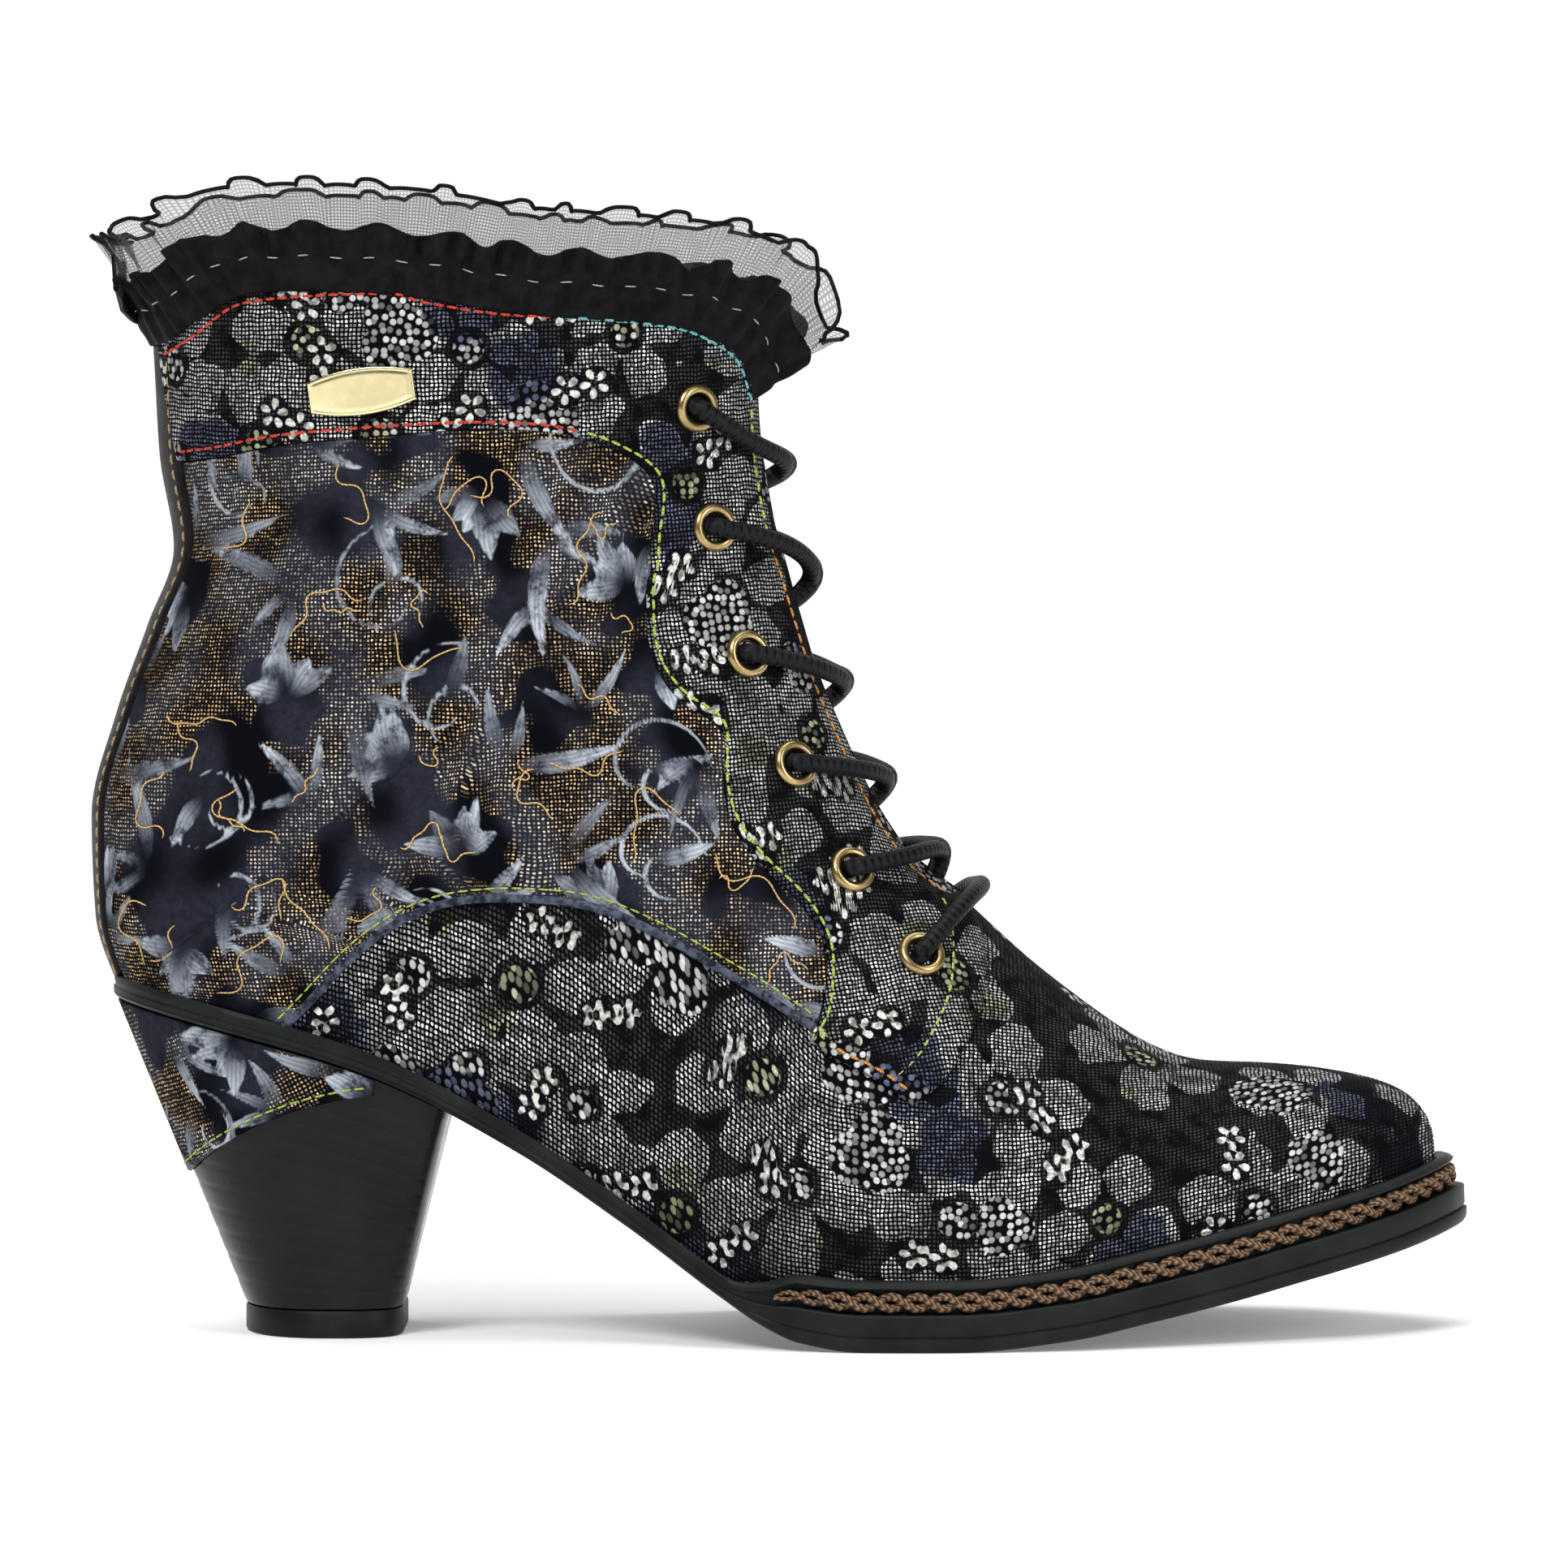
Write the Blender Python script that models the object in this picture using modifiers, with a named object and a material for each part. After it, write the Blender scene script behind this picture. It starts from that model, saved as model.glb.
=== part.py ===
"""A right-foot lace-up ankle boot with a stacked block heel.

Metres, +Z up, toe towards +X. The lateral side of the foot is -Y and the
medial side is +Y. The origin is on the floor under the middle of the heel.

The upper is a fan of sections. Each section runs in a straight line, seen
from the side, from a foot on the sole or on the back line to a head on the
crest of the vamp or on the front of the shaft. A place on the upper is given
as (row, climb): the section's number in UPPER, counted from the toe, and the
share of the way from its foot to its head.
"""
import math

import bmesh
import bpy
import numpy as np
from mathutils import Matrix, Vector

NAME = "victorian_boot"

# Driving sizes in metres
SOLE_LENGTH = 0.247
BALL_WIDTH = 0.089
HEEL_SETBACK = 0.0386
HEEL_HEIGHT = 0.061
TOE_SPRING = 0.0196
UPPER_HEIGHT = 0.127
WALL = 0.0020
GAP = 0.0003

# Sole edge, from the plain strip at the waist to the built-up forefoot
STRIP_HEIGHT = 0.0043
FOXING_HEIGHT = 0.0128
SLAB_HEIGHT = 0.0067
LIP_START = 0.0112
RECESS_DEPTH = 0.0030
LIP_SETBACK = 0.0018
EDGE_ROUND = 0.0012
FEATHER_MARGIN = 0.0049
STRIP_MARGIN = 0.0022
FLOOR_HEIGHT = 0.0050
STRIP_GROOVE = 0.0003
TOE_LEAN = 0.5
HEEL_ROUND = 0.12
TOE_ROUND = 0.12
BRAID_DIAMETER = 0.0034
INSOLE_THICKNESS = 0.0020

# Heel block and top lift
LIFT_HEIGHT = 0.0050
LIFT_LENGTH = 0.0292
LIFT_WIDTH = 0.0390
HEEL_BREAST = 0.0610
HEEL_INSET = 0.0017
COVER_THICKNESS = 0.0008

# Overlays, throat and tongue
EYESTAY_THICKNESS = 0.0011
QUARTER_THICKNESS = 0.0006
BACKSTRIP_THICKNESS = 0.0009
THROAT_WIDTH = 0.0130
TONGUE_THICKNESS = 0.0016
TONGUE_DEPTH = 0.0150
SEAM_GAP = 0.0004

# Eyelets, lace, badge and frills
EYELET_WIDTH = 0.0088
EYELET_HOLE = 0.0048
EYELET_BARREL = 0.0060
EYELET_HEIGHT = 0.0010
EYELET_SIDES = 8
LACE_DIAMETER = 0.0033
BADGE_LENGTH = 0.0192
BADGE_WIDTH = 0.0085
BADGE_THICKNESS = 0.0008
BAND_WIDTH = 0.0110
ORGANZA_WIDTH = 0.0078
FRILL_THICKNESS = 0.0008
FRILL_FLARE = 0.42
FRILL_WAVES = 17
FRILL_STEPS = 23
FRILL_END = 0.92

X_BACK = -HEEL_SETBACK

# One row for each station of the sole. run is a share of SOLE_LENGTH from
# the back, heel and spring are shares of HEEL_HEIGHT and TOE_SPRING, half and
# swing are shares of BALL_WIDTH, and build goes from 0 at the thin strip of
# the waist to 1 at the built-up forefoot.
SOLE_COLUMNS = ("run", "heel", "spring", "half", "swing", "build")
SOLE = (
    (0.00, 1.000, 0.000, 0.300, 0.000, 0.00),
    (0.12, 0.882, 0.000, 0.331, 0.000, 0.00),
    (0.20, 0.776, 0.000, 0.326, 0.000, 0.00),
    (0.30, 0.565, 0.000, 0.315, -0.012, 0.00),
    (0.38, 0.350, 0.000, 0.335, -0.022, 0.00),
    (0.45, 0.146, 0.000, 0.392, -0.033, 0.00),
    (0.48, 0.068, 0.000, 0.421, -0.035, 0.45),
    (0.505, 0.025, 0.000, 0.445, -0.034, 0.92),
    (0.55, 0.000, 0.000, 0.476, -0.028, 1.00),
    (0.62, 0.000, 0.000, 0.500, -0.006, 1.00),
    (0.70, 0.000, 0.090, 0.490, 0.018, 1.00),
    (0.76, 0.000, 0.236, 0.455, 0.034, 1.00),
    (0.82, 0.000, 0.400, 0.410, 0.046, 1.00),
    (0.88, 0.000, 0.590, 0.360, 0.054, 1.00),
    (0.95, 0.000, 0.810, 0.300, 0.057, 1.00),
    (1.00, 0.000, 1.000, 0.255, 0.056, 1.00),
)

# One row for each section of the upper, from the toe to above the collar.
# foot is the share along the sole where it starts, back and rise place the
# feet that stand on the back line (shares of SOLE_LENGTH and UPPER_HEIGHT),
# run and lift place its head (the same shares, lift from the sole under its
# foot), girth adds to its half width and ridge moves its crest to the medial
# side (shares of BALL_WIDTH), low_out and low_in say where it is widest on
# each side, and seat and crown are how square it is below and above that.
UPPER_COLUMNS = ("foot", "back", "rise", "run", "lift", "girth", "ridge",
                 "low_out", "low_in", "seat", "crown")
UPPER = (
    (1.000, 0.000, 0.000, 0.9757, 0.115, 0.000, 0.056, 0.30, 0.30, 2.4, 2.2),
    (0.994, 0.000, 0.000, 0.9737, 0.148, 0.000, 0.056, 0.30, 0.31, 2.4, 2.2),
    (0.975, 0.000, 0.000, 0.9630, 0.195, 0.000, 0.056, 0.29, 0.32, 2.4, 2.2),
    (0.945, 0.000, 0.000, 0.9370, 0.240, 0.000, 0.055, 0.28, 0.33, 2.4, 2.2),
    (0.900, 0.000, 0.000, 0.8930, 0.279, 0.000, 0.054, 0.27, 0.33, 2.4, 2.2),
    (0.845, 0.000, 0.000, 0.8410, 0.314, 0.000, 0.052, 0.25, 0.32, 2.4, 2.2),
    (0.785, 0.000, 0.000, 0.7900, 0.347, 0.000, 0.048, 0.23, 0.31, 2.4, 2.1),
    (0.725, 0.000, 0.000, 0.7430, 0.414, 0.000, 0.042, 0.21, 0.29, 2.4, 2.0),
    (0.660, 0.000, 0.000, 0.6950, 0.497, 0.000, 0.030, 0.19, 0.27, 2.4, 1.9),
    (0.590, 0.000, 0.000, 0.6460, 0.583, 0.050, 0.012, 0.19, 0.26, 2.4, 1.8),
    (0.515, 0.000, 0.000, 0.5995, 0.657, 0.080, 0.002, 0.21, 0.27, 2.4, 1.8),
    (0.435, 0.000, 0.000, 0.5652, 0.661, 0.111, 0.000, 0.25, 0.30, 2.4, 1.8),
    (0.350, 0.000, 0.000, 0.5388, 0.655, 0.180, 0.000, 0.32, 0.35, 2.4, 1.9),
    (0.260, 0.000, 0.000, 0.5186, 0.645, 0.202, 0.000, 0.38, 0.40, 2.5, 1.9),
    (0.165, 0.000, 0.000, 0.5045, 0.658, 0.185, 0.000, 0.41, 0.43, 2.6, 2.0),
    (0.080, 0.000, 0.000, 0.4951, 0.683, 0.213, 0.000, 0.42, 0.44, 2.7, 2.0),
    (0.025, 0.000, 0.000, 0.4891, 0.708, 0.309, 0.000, 0.42, 0.44, 2.8, 2.0),
    (0.000, 0.000, 0.000, 0.4850, 0.748, 0.351, 0.000, 0.42, 0.44, 2.8, 2.0),
    (0.000, -0.0170, 0.099, 0.4818, 0.787, 0.354, 0.000, 0.42, 0.43, 2.7, 2.0),
    (0.000, -0.0198, 0.241, 0.4798, 0.823, 0.357, 0.000, 0.42, 0.42, 2.5, 2.0),
    (0.000, -0.0020, 0.383, 0.4785, 0.854, 0.358, 0.000, 0.42, 0.42, 2.3, 2.0),
    (0.000, 0.0210, 0.509, 0.4777, 0.882, 0.357, 0.000, 0.42, 0.42, 2.2, 2.0),
    (0.000, 0.0413, 0.627, 0.4769, 0.913, 0.357, 0.000, 0.43, 0.43, 2.2, 2.0),
    (0.000, 0.0310, 0.761, 0.4761, 0.953, 0.365, 0.000, 0.44, 0.44, 2.2, 2.1),
    (0.000, 0.0270, 0.902, 0.4753, 0.996, 0.376, 0.000, 0.45, 0.45, 2.2, 2.1),
    (0.000, 0.0223, 1.044, 0.4745, 1.047, 0.382, 0.000, 0.45, 0.45, 2.2, 2.1),
)
HEEL_ROW = 17
TOP_ROW = len(UPPER) - 1
BELLY_PART = 0.40


def column(table, names, name):
    """Return one named column of a table as an array."""
    return np.array([row[names.index(name)] for row in table], dtype=float)


def monotone(knots, values, at):
    """Read a curve through the knots that never overshoots them.

    A cubic between each two knots, whose slope at a knot is the harmonic
    mean of the slopes on its two sides, or zero where they differ in sign.
    """
    step = np.diff(knots)
    slope = np.diff(values) / step
    tangent = np.zeros_like(values)
    same = slope[:-1] * slope[1:] > 0
    left = np.where(same, slope[:-1], 1.0)
    right = np.where(same, slope[1:], 1.0)
    tangent[1:-1] = np.where(same, 2 * left * right / (left + right), 0.0)
    tangent[0] = slope[0]
    tangent[-1] = slope[-1]
    at = np.clip(np.asarray(at, dtype=float), knots[0], knots[-1])
    cell = np.clip(np.searchsorted(knots, at, side="right") - 1, 0, len(step) - 1)
    width = step[cell]
    t = (at - knots[cell]) / width
    rise = values[cell + 1] - values[cell]
    bend = (tangent[cell] + tangent[cell + 1]) * width - 2 * rise
    return (values[cell] + tangent[cell] * width * t
            + (3 * rise - (2 * tangent[cell] + tangent[cell + 1]) * width) * t**2
            + bend * t**3)


def spline(values, at):
    """Read the natural cubic spline through values at whole numbers."""
    count = len(values)
    system = np.eye(count)
    right = np.zeros(count)
    for index in range(1, count - 1):
        system[index, index - 1:index + 2] = (1, 4, 1)
        right[index] = 6 * (values[index - 1] - 2 * values[index] + values[index + 1])
    bend = np.linalg.solve(system, right)
    at = np.asarray(at, dtype=float)
    cell = np.clip(np.floor(at).astype(int), 0, count - 2)
    t = at - cell
    return ((1 - t) * values[cell] + t * values[cell + 1]
            - t * (1 - t) * ((2 - t) * bend[cell] + (1 + t) * bend[cell + 1]) / 6)


RUNS = column(SOLE, SOLE_COLUMNS, "run")
ROWS = np.arange(len(UPPER), dtype=float)
SMOOTH = ("run", "lift", "girth", "ridge", "low_out", "low_in", "seat", "crown")


def sole_share(name, run):
    """Read a column of SOLE at a share of the sole's length."""
    return monotone(RUNS, column(SOLE, SOLE_COLUMNS, name), run)


def sole_bottom(x):
    """Height of the sole's underside above the floor."""
    run = (x - X_BACK) / SOLE_LENGTH
    return HEEL_HEIGHT * sole_share("heel", run) + TOE_SPRING * sole_share("spring", run)


def built(strip, forefoot):
    """A size of the sole's edge that grows from the strip to the forefoot."""
    return lambda run: strip + (forefoot - strip) * sole_share("build", run)


edge_height = built(STRIP_HEIGHT, FOXING_HEIGHT)
slab_height = built(0.45 * STRIP_HEIGHT, SLAB_HEIGHT)
lip_start = built(0.65 * STRIP_HEIGHT, LIP_START)
floor_height = built(0.50 * STRIP_HEIGHT, FLOOR_HEIGHT)
recess_depth = built(STRIP_GROOVE, RECESS_DEPTH)
lip_setback = built(STRIP_GROOVE, LIP_SETBACK)
feather_margin = built(STRIP_MARGIN, FEATHER_MARGIN)


def outline(run, inset):
    """Place, half width and centre of the sole's plan drawn in by inset.

    The half width of the table, less the inset, is rounded to nothing at
    both ends by a quarter of an ellipse.
    """
    x = X_BACK + inset + run * (SOLE_LENGTH - 2 * inset)
    share = (x - X_BACK) / SOLE_LENGTH
    half = BALL_WIDTH * sole_share("half", share) - inset
    heel = np.sqrt(1 - (1 - np.clip(run / HEEL_ROUND, 0, 1))**2)
    toe = np.sqrt(1 - np.clip((run - 1 + TOE_ROUND) / TOE_ROUND, 0, 1)**2)
    return x, half * heel * toe, BALL_WIDTH * sole_share("swing", share)


def sole_line(run, inset, height):
    """The plan drawn in by inset, carried height above the underside.

    Where the toe springs up, the edge leans back with it.
    """
    x, half, centre = outline(run, inset)
    step = 0.001
    slope = (sole_bottom(x + step) - sole_bottom(x - step)) / (2 * step)
    z = sole_bottom(x) + height
    x = x - TOE_LEAN * height * np.clip(slope, 0, None)
    return x, half, centre, z


def upper_section(row):
    """Foot, head and sizes of the section of the upper at a row number."""
    row = np.asarray(row, dtype=float)
    value = {}
    for name in UPPER_COLUMNS:
        data = column(UPPER, UPPER_COLUMNS, name)
        value[name] = spline(data, row) if name in SMOOTH else monotone(ROWS, data, row)
    foot = np.clip(value["foot"], 0, 1)
    x, base, centre, z = sole_line(foot, feather_margin(foot), floor_height(foot) + GAP)
    under = sole_bottom(x)
    return {
        "foot_x": x + value["back"] * SOLE_LENGTH,
        "foot_z": z + value["rise"] * UPPER_HEIGHT,
        "head_x": X_BACK + value["run"] * SOLE_LENGTH,
        "head_z": under + value["lift"] * UPPER_HEIGHT,
        "base": base,
        "centre": centre,
        "ridge": value["ridge"] * BALL_WIDTH,
        "full": np.hypot(1.02 * base, np.clip(value["girth"], 0, None) * BALL_WIDTH),
        "low_out": value["low_out"],
        "low_in": value["low_in"],
        "seat": value["seat"],
        "crown": value["crown"],
    }


def upper_half(part, tau, side):
    """Climb and half width round one side of a section.

    tau goes from 0 at the foot to 1 at the crest. Below the widest place the
    half width follows a superellipse that starts at the base width, and
    above it one that closes at the crest.
    """
    low = part["low_out"] if side < 0 else part["low_in"]
    full = part["full"]
    base = np.minimum(part["base"], full)
    start = np.clip(tau / BELLY_PART, 0, 1)
    ratio = base / np.maximum(full, 1e-9)
    away = 1 - start**(2 - ratio)
    under = np.sqrt(full**2 - (full**2 - base**2) * away**part["seat"])
    angle = np.clip((tau - BELLY_PART) / (1 - BELLY_PART), 0, 1) * math.pi / 2
    over = np.sin(angle)**(2 / part["crown"])
    below = tau < BELLY_PART
    climb = np.where(below, low * (1 - away), low + (1 - low) * over)
    half = np.where(below, under, full * np.cos(angle))
    return climb, half


def upper_point(row, tau, side):
    """A point of the upper's outer face."""
    part = upper_section(row)
    climb, half = upper_half(part, tau, side)
    x = part["foot_x"] + climb * (part["head_x"] - part["foot_x"])
    z = part["foot_z"] + climb * (part["head_z"] - part["foot_z"])
    middle = part["centre"] + (part["ridge"] - part["centre"]) * climb
    return np.stack([x, middle + side * half, z], axis=-1)


def upper_normal(row, tau, side):
    """The outward direction of the upper's outer face."""
    step = 1e-3
    along = (upper_point(np.clip(row + step, 0, TOP_ROW), tau, side)
             - upper_point(np.clip(row - step, 0, TOP_ROW), tau, side))
    around = (upper_point(row, np.clip(tau + step, 0, 1), side)
              - upper_point(row, np.clip(tau - step, 0, 1), side))
    normal = -side * np.cross(around, along)
    return normal / np.linalg.norm(normal, axis=-1, keepdims=True)


def section_line(row, climb):
    """The place in the side view of a climb up the section at a row."""
    part = upper_section(row)
    x = part["foot_x"] + climb * (part["head_x"] - part["foot_x"])
    z = part["foot_z"] + climb * (part["head_z"] - part["foot_z"])
    return x, z


def pattern_point(row, climb, side, lift=0.0):
    """A point over the upper at a row and a climb, and the way out there."""
    part = upper_section(row)
    tau = np.linspace(0, 1, 600)
    climbs, _ = upper_half(part, tau, side)
    here = float(np.interp(climb, climbs, tau))
    normal = upper_normal(row, here, side)
    return Vector(upper_point(row, here, side) + lift * normal), Vector(normal)


def front_point(row, y, lift):
    """A point over the front of a section, y across from its crest."""
    part = upper_section(row)
    side = -1 if y < 0 else 1
    tau = np.linspace(BELLY_PART, 1, 600)
    _, halves = upper_half(part, tau, side)
    here = float(np.interp(-abs(y), -halves, tau))
    return Vector(upper_point(row, here, side) + lift * upper_normal(row, here, side))


# Scene, collections and materials


def clear_scene():
    """Remove every object that the file starts with."""
    for obj in list(bpy.data.objects):
        bpy.data.objects.remove(obj, do_unlink=True)


def new_collection(name):
    """Make a collection under the scene's own."""
    made = bpy.data.collections.new(name)
    bpy.context.scene.collection.children.link(made)
    return made


def new_material(name, colour, roughness, metallic=0.0):
    """Make a plain Principled material."""
    made = bpy.data.materials.new(name)
    made.use_nodes = True
    shader = made.node_tree.nodes["Principled BSDF"]
    shader.inputs["Base Color"].default_value = (*colour, 1.0)
    shader.inputs["Roughness"].default_value = roughness
    shader.inputs["Metallic"].default_value = metallic
    made.diffuse_color = (*colour, 1.0)
    return made


clear_scene()
PARTS = new_collection(NAME)
TOOLS = new_collection(NAME + "_cutters")


def new_object(name, mesh, group, colour=None, roughness=0.6, metallic=0.0):
    """Put a mesh in a collection as an object, with its own material."""
    made = bpy.data.objects.new(name, mesh)
    group.objects.link(made)
    if group is TOOLS:
        made.hide_render = True
        made.display_type = "WIRE"
    else:
        mesh.materials.append(new_material(name, colour, roughness, metallic))
    return made


def new_mesh(name, points, faces, smooth=True):
    """Make a mesh from points and faces and turn its faces outwards."""
    mesh = bpy.data.meshes.new(name)
    mesh.from_pydata([tuple(point) for point in points], [], faces)
    shape = bmesh.new()
    shape.from_mesh(mesh)
    bmesh.ops.recalc_face_normals(shape, faces=shape.faces)
    if smooth:
        bmesh.ops.triangulate(shape, faces=shape.faces)
    shape.to_mesh(mesh)
    shape.free()
    if smooth:
        mesh.shade_smooth()
        mesh.set_sharp_from_angle(angle=math.radians(40))
    return mesh


def cut(piece, cutter, operation="DIFFERENCE"):
    """Add a Boolean that cuts the piece by a cutter, or keeps what is in it."""
    made = piece.modifiers.new(operation.lower(), "BOOLEAN")
    made.operation = operation
    made.solver = "EXACT"
    made.object = cutter


def harden(piece):
    """Turn a piece's modifiers or its curve into a plain mesh."""
    bpy.context.view_layer.update()
    graph = bpy.context.evaluated_depsgraph_get()
    mesh = bpy.data.meshes.new_from_object(piece.evaluated_get(graph))
    shape = bmesh.new()
    shape.from_mesh(mesh)
    bmesh.ops.remove_doubles(shape, verts=shape.verts, dist=1e-6)
    shape.to_mesh(mesh)
    shape.free()
    return mesh


# Sheets and closed forms of the upper

FOOT_STEPS = 4
CREST_STEPS = 5
WAIST_ROWS = (10.5, 11.5)
GRID_ROWS = sorted([float(row) for row in range(len(UPPER))] + list(WAIST_ROWS))
HEEL_LINE = GRID_ROWS.index(float(HEEL_ROW))


def upper_grid():
    """Points of the upper's outer face and their numbers on a grid.

    A row of the grid is a section from its lateral foot over the crest to
    its medial foot. The toe's row lies on one upright line, and the rows
    from the heel up start and end at one point on the back line.
    """
    foot = np.linspace(0, BELLY_PART, FOOT_STEPS + 1)
    crest = np.linspace(BELLY_PART, 1, CREST_STEPS + 1)[1:]
    taus = np.concatenate([foot, crest])
    last = len(taus) - 1
    points = []
    numbers = np.zeros((len(GRID_ROWS), 2 * last + 1), dtype=int)
    for row, place_of_row in enumerate(GRID_ROWS):
        lateral = upper_point(place_of_row, taus, -1)
        medial = upper_point(place_of_row, taus, 1)
        for index in range(last + 1):
            numbers[row, index] = len(points)
            points.append(lateral[index])
        for index in range(last - 1, -1, -1):
            place = 2 * last - index
            shared = row == 0 or (row >= HEEL_LINE and index == 0)
            if shared:
                numbers[row, place] = numbers[row, index]
            else:
                numbers[row, place] = len(points)
                points.append(medial[index])
    return np.array(points), numbers


def grid_faces(numbers):
    """Faces between the rows of a grid, without those that have no area."""
    faces = []
    for row in range(numbers.shape[0] - 1):
        for place in range(numbers.shape[1] - 1):
            ring = (numbers[row, place], numbers[row, place + 1],
                    numbers[row + 1, place + 1], numbers[row + 1, place])
            face = list(dict.fromkeys(int(number) for number in ring))
            if len(face) > 2:
                faces.append(face)
    return faces


def ladder(left, right):
    """Faces that close the space between two lines of numbers."""
    faces = []
    for index in range(len(left) - 1):
        ring = (left[index], left[index + 1], right[index + 1], right[index])
        face = list(dict.fromkeys(int(number) for number in ring))
        if len(face) > 2:
            faces.append(face)
    return faces


def offset_points(offset):
    """The upper's grid moved out along its corner normals."""
    points, numbers = upper_grid()
    sheet = bpy.data.meshes.new("sheet")
    sheet.from_pydata([tuple(point) for point in points], [], grid_faces(numbers))
    normals = np.array([corner.normal[:] for corner in sheet.vertices])
    middle = numbers[12, 3]
    if normals[middle][1] > 0:
        normals = -normals
    bpy.data.meshes.remove(sheet)
    return points + offset * normals, numbers, points


def upper_sheet(name, offset, thickness, group, **finish):
    """An open sheet offset from the upper's face and thickened outwards."""
    points, numbers, _ = offset_points(offset)
    faces = grid_faces(numbers)
    mesh = bpy.data.meshes.new(name)
    mesh.from_pydata([tuple(point) for point in points], [], faces)
    middle = numbers[12, 3]
    if mesh.vertices[middle].normal.y > 0:
        mesh.flip_normals()
    mesh.shade_smooth()
    made = new_object(name, mesh, group, **finish)
    wall = made.modifiers.new("wall", "SOLIDIFY")
    wall.thickness = thickness
    wall.offset = 1.0
    wall.use_even_offset = False
    made.modifiers.new("triangles", "TRIANGULATE")
    return made


def upper_form(name, offset):
    """The whole form of the upper as a closed solid, grown by an offset."""
    points, numbers, bare = offset_points(offset)
    feet = np.unique(np.concatenate([numbers[:HEEL_LINE + 1, 0],
                                     numbers[:HEEL_LINE + 1, -1]]))
    points[feet, 2] = bare[feet, 2] - offset
    faces = grid_faces(numbers)
    faces += ladder(numbers[:HEEL_LINE + 1, 0], numbers[:HEEL_LINE + 1, -1])
    top = numbers[-1]
    half = len(top) // 2
    faces += ladder(top[:half + 1], top[::-1][:half + 1])
    return new_object(name, new_mesh(name, points, faces), TOOLS)


def prism(name, outline_xz, low, high):
    """A cutter with an outline in the side view, from y low to y high."""
    count = len(outline_xz)
    points = [(x, low, z) for x, z in outline_xz]
    points += [(x, high, z) for x, z in outline_xz]
    faces = [list(range(count)), list(range(2 * count - 1, count - 1, -1))]
    for index in range(count):
        after = (index + 1) % count
        faces.append([index, after, count + after, count + index])
    return new_object(name, new_mesh(name, points, faces, smooth=False), TOOLS)


def smooth_line(points, steps):
    """A rounded line through (row, climb) points, seen from the side."""
    rows = spline(np.array([point[0] for point in points]),
                  np.linspace(0, len(points) - 1, steps))
    climbs = spline(np.array([point[1] for point in points]),
                    np.linspace(0, len(points) - 1, steps))
    return [tuple(float(value) for value in section_line(row, climb))
            for row, climb in zip(rows, climbs)]


# Pattern lines as (row, climb), from the back or the top on
COLLAR = ((24.25, -0.10), (24.15, 0.01), (24.30, 0.07), (24.50, 0.125), (24.63, 0.18),
          (24.63, 0.30), (24.50, 0.46), (24.22, 0.60), (24.00, 0.74), (23.66, 0.867),
          (23.18, 0.930), (22.45, 0.968), (21.40, 0.982), (19.90, 0.993), (18.60, 1.01))
CUFF_EDGE = ((22.87, 0.034), (22.82, 0.11), (22.80, 0.20), (22.65, 0.34), (22.27, 0.55),
             (21.46, 0.70), (20.30, 0.79), (19.10, 0.833), (17.60, 0.822),
             (15.90, 0.788), (14.60, 0.755), (13.86, 0.764), (13.40, 0.778),
             (13.05, 0.735), (12.60, 0.695), (12.05, 0.691), (11.50, 0.707),
             (11.05, 0.694), (10.87, 0.636), (10.82, 0.570), (10.79, 0.530))
TAB = ((10.79, 0.530), (10.19, 0.536), (9.49, 0.510))
TAB_FRONT = ((9.49, 0.510), (9.19, 0.607), (9.01, 0.724), (8.92, 0.838), (9.04, 0.948),
             (9.32, 1.030))
QUARTER_EDGE = ((14.50, 0.015), (14.53, 0.088), (14.57, 0.180), (14.48, 0.261),
                (14.20, 0.320), (13.70, 0.375), (13.11, 0.433), (12.35, 0.473),
                (11.45, 0.522), (10.79, 0.560))
QUARTER_UNDER = ((11.30, 0.780), (13.20, 0.860), (16.00, 0.890), (19.00, 0.890),
                 (21.50, 0.800), (22.80, 0.500), (23.20, 0.200), (23.20, -0.500))
BACKSTRIP_EDGE = ((24.60, 0.046), (22.60, 0.036), (21.15, 0.033), (20.00, 0.028),
                  (18.80, 0.020), (18.00, 0.016), (17.45, 0.012))
EYELETS = ((21.05, 0.887), (16.86, 0.905), (13.95, 0.878), (12.43, 0.858),
           (11.11, 0.845), (9.83, 0.819))
THROAT_ROW = 9.75
BAR_ROW = 9.35
BADGE_PLACE = (23.26, 0.347)
BADGE_TURN = math.radians(8)
BEYOND = 1.6


def collar_keep():
    """The side view of all that lies under the collar line."""
    line = smooth_line(COLLAR, 27)
    far = 2 * SOLE_LENGTH
    return [(-far, line[0][1])] + line + [(far, line[-1][1]), (far, -far), (-far, -far)]


def eyestay_outline(grow=0.0):
    """The side view of the cuff and lacing panel, its back edge moved out."""
    lower = smooth_line(CUFF_EDGE, 29)
    tab = smooth_line(TAB, 4)[1:]
    front = smooth_line(TAB_FRONT, 7)[1:]
    back = section_line(22.87, -0.4)
    line = [tuple(float(value) for value in back)] + lower + tab + front
    if grow:
        line = shifted(line, grow)
    top = section_line(TOP_ROW, -0.4)
    over = section_line(TOP_ROW, BEYOND)
    beside = section_line(9.32, BEYOND)
    return line + [tuple(map(float, beside)), tuple(map(float, over)), tuple(map(float, top))]


def shifted(line, distance):
    """A line in the side view moved to its right-hand side."""
    points = np.array(line)
    along = np.gradient(points, axis=0)
    along /= np.linalg.norm(along, axis=1, keepdims=True)
    across = np.stack([along[:, 1], -along[:, 0]], axis=1)
    return [tuple(point) for point in points + distance * across]


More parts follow.
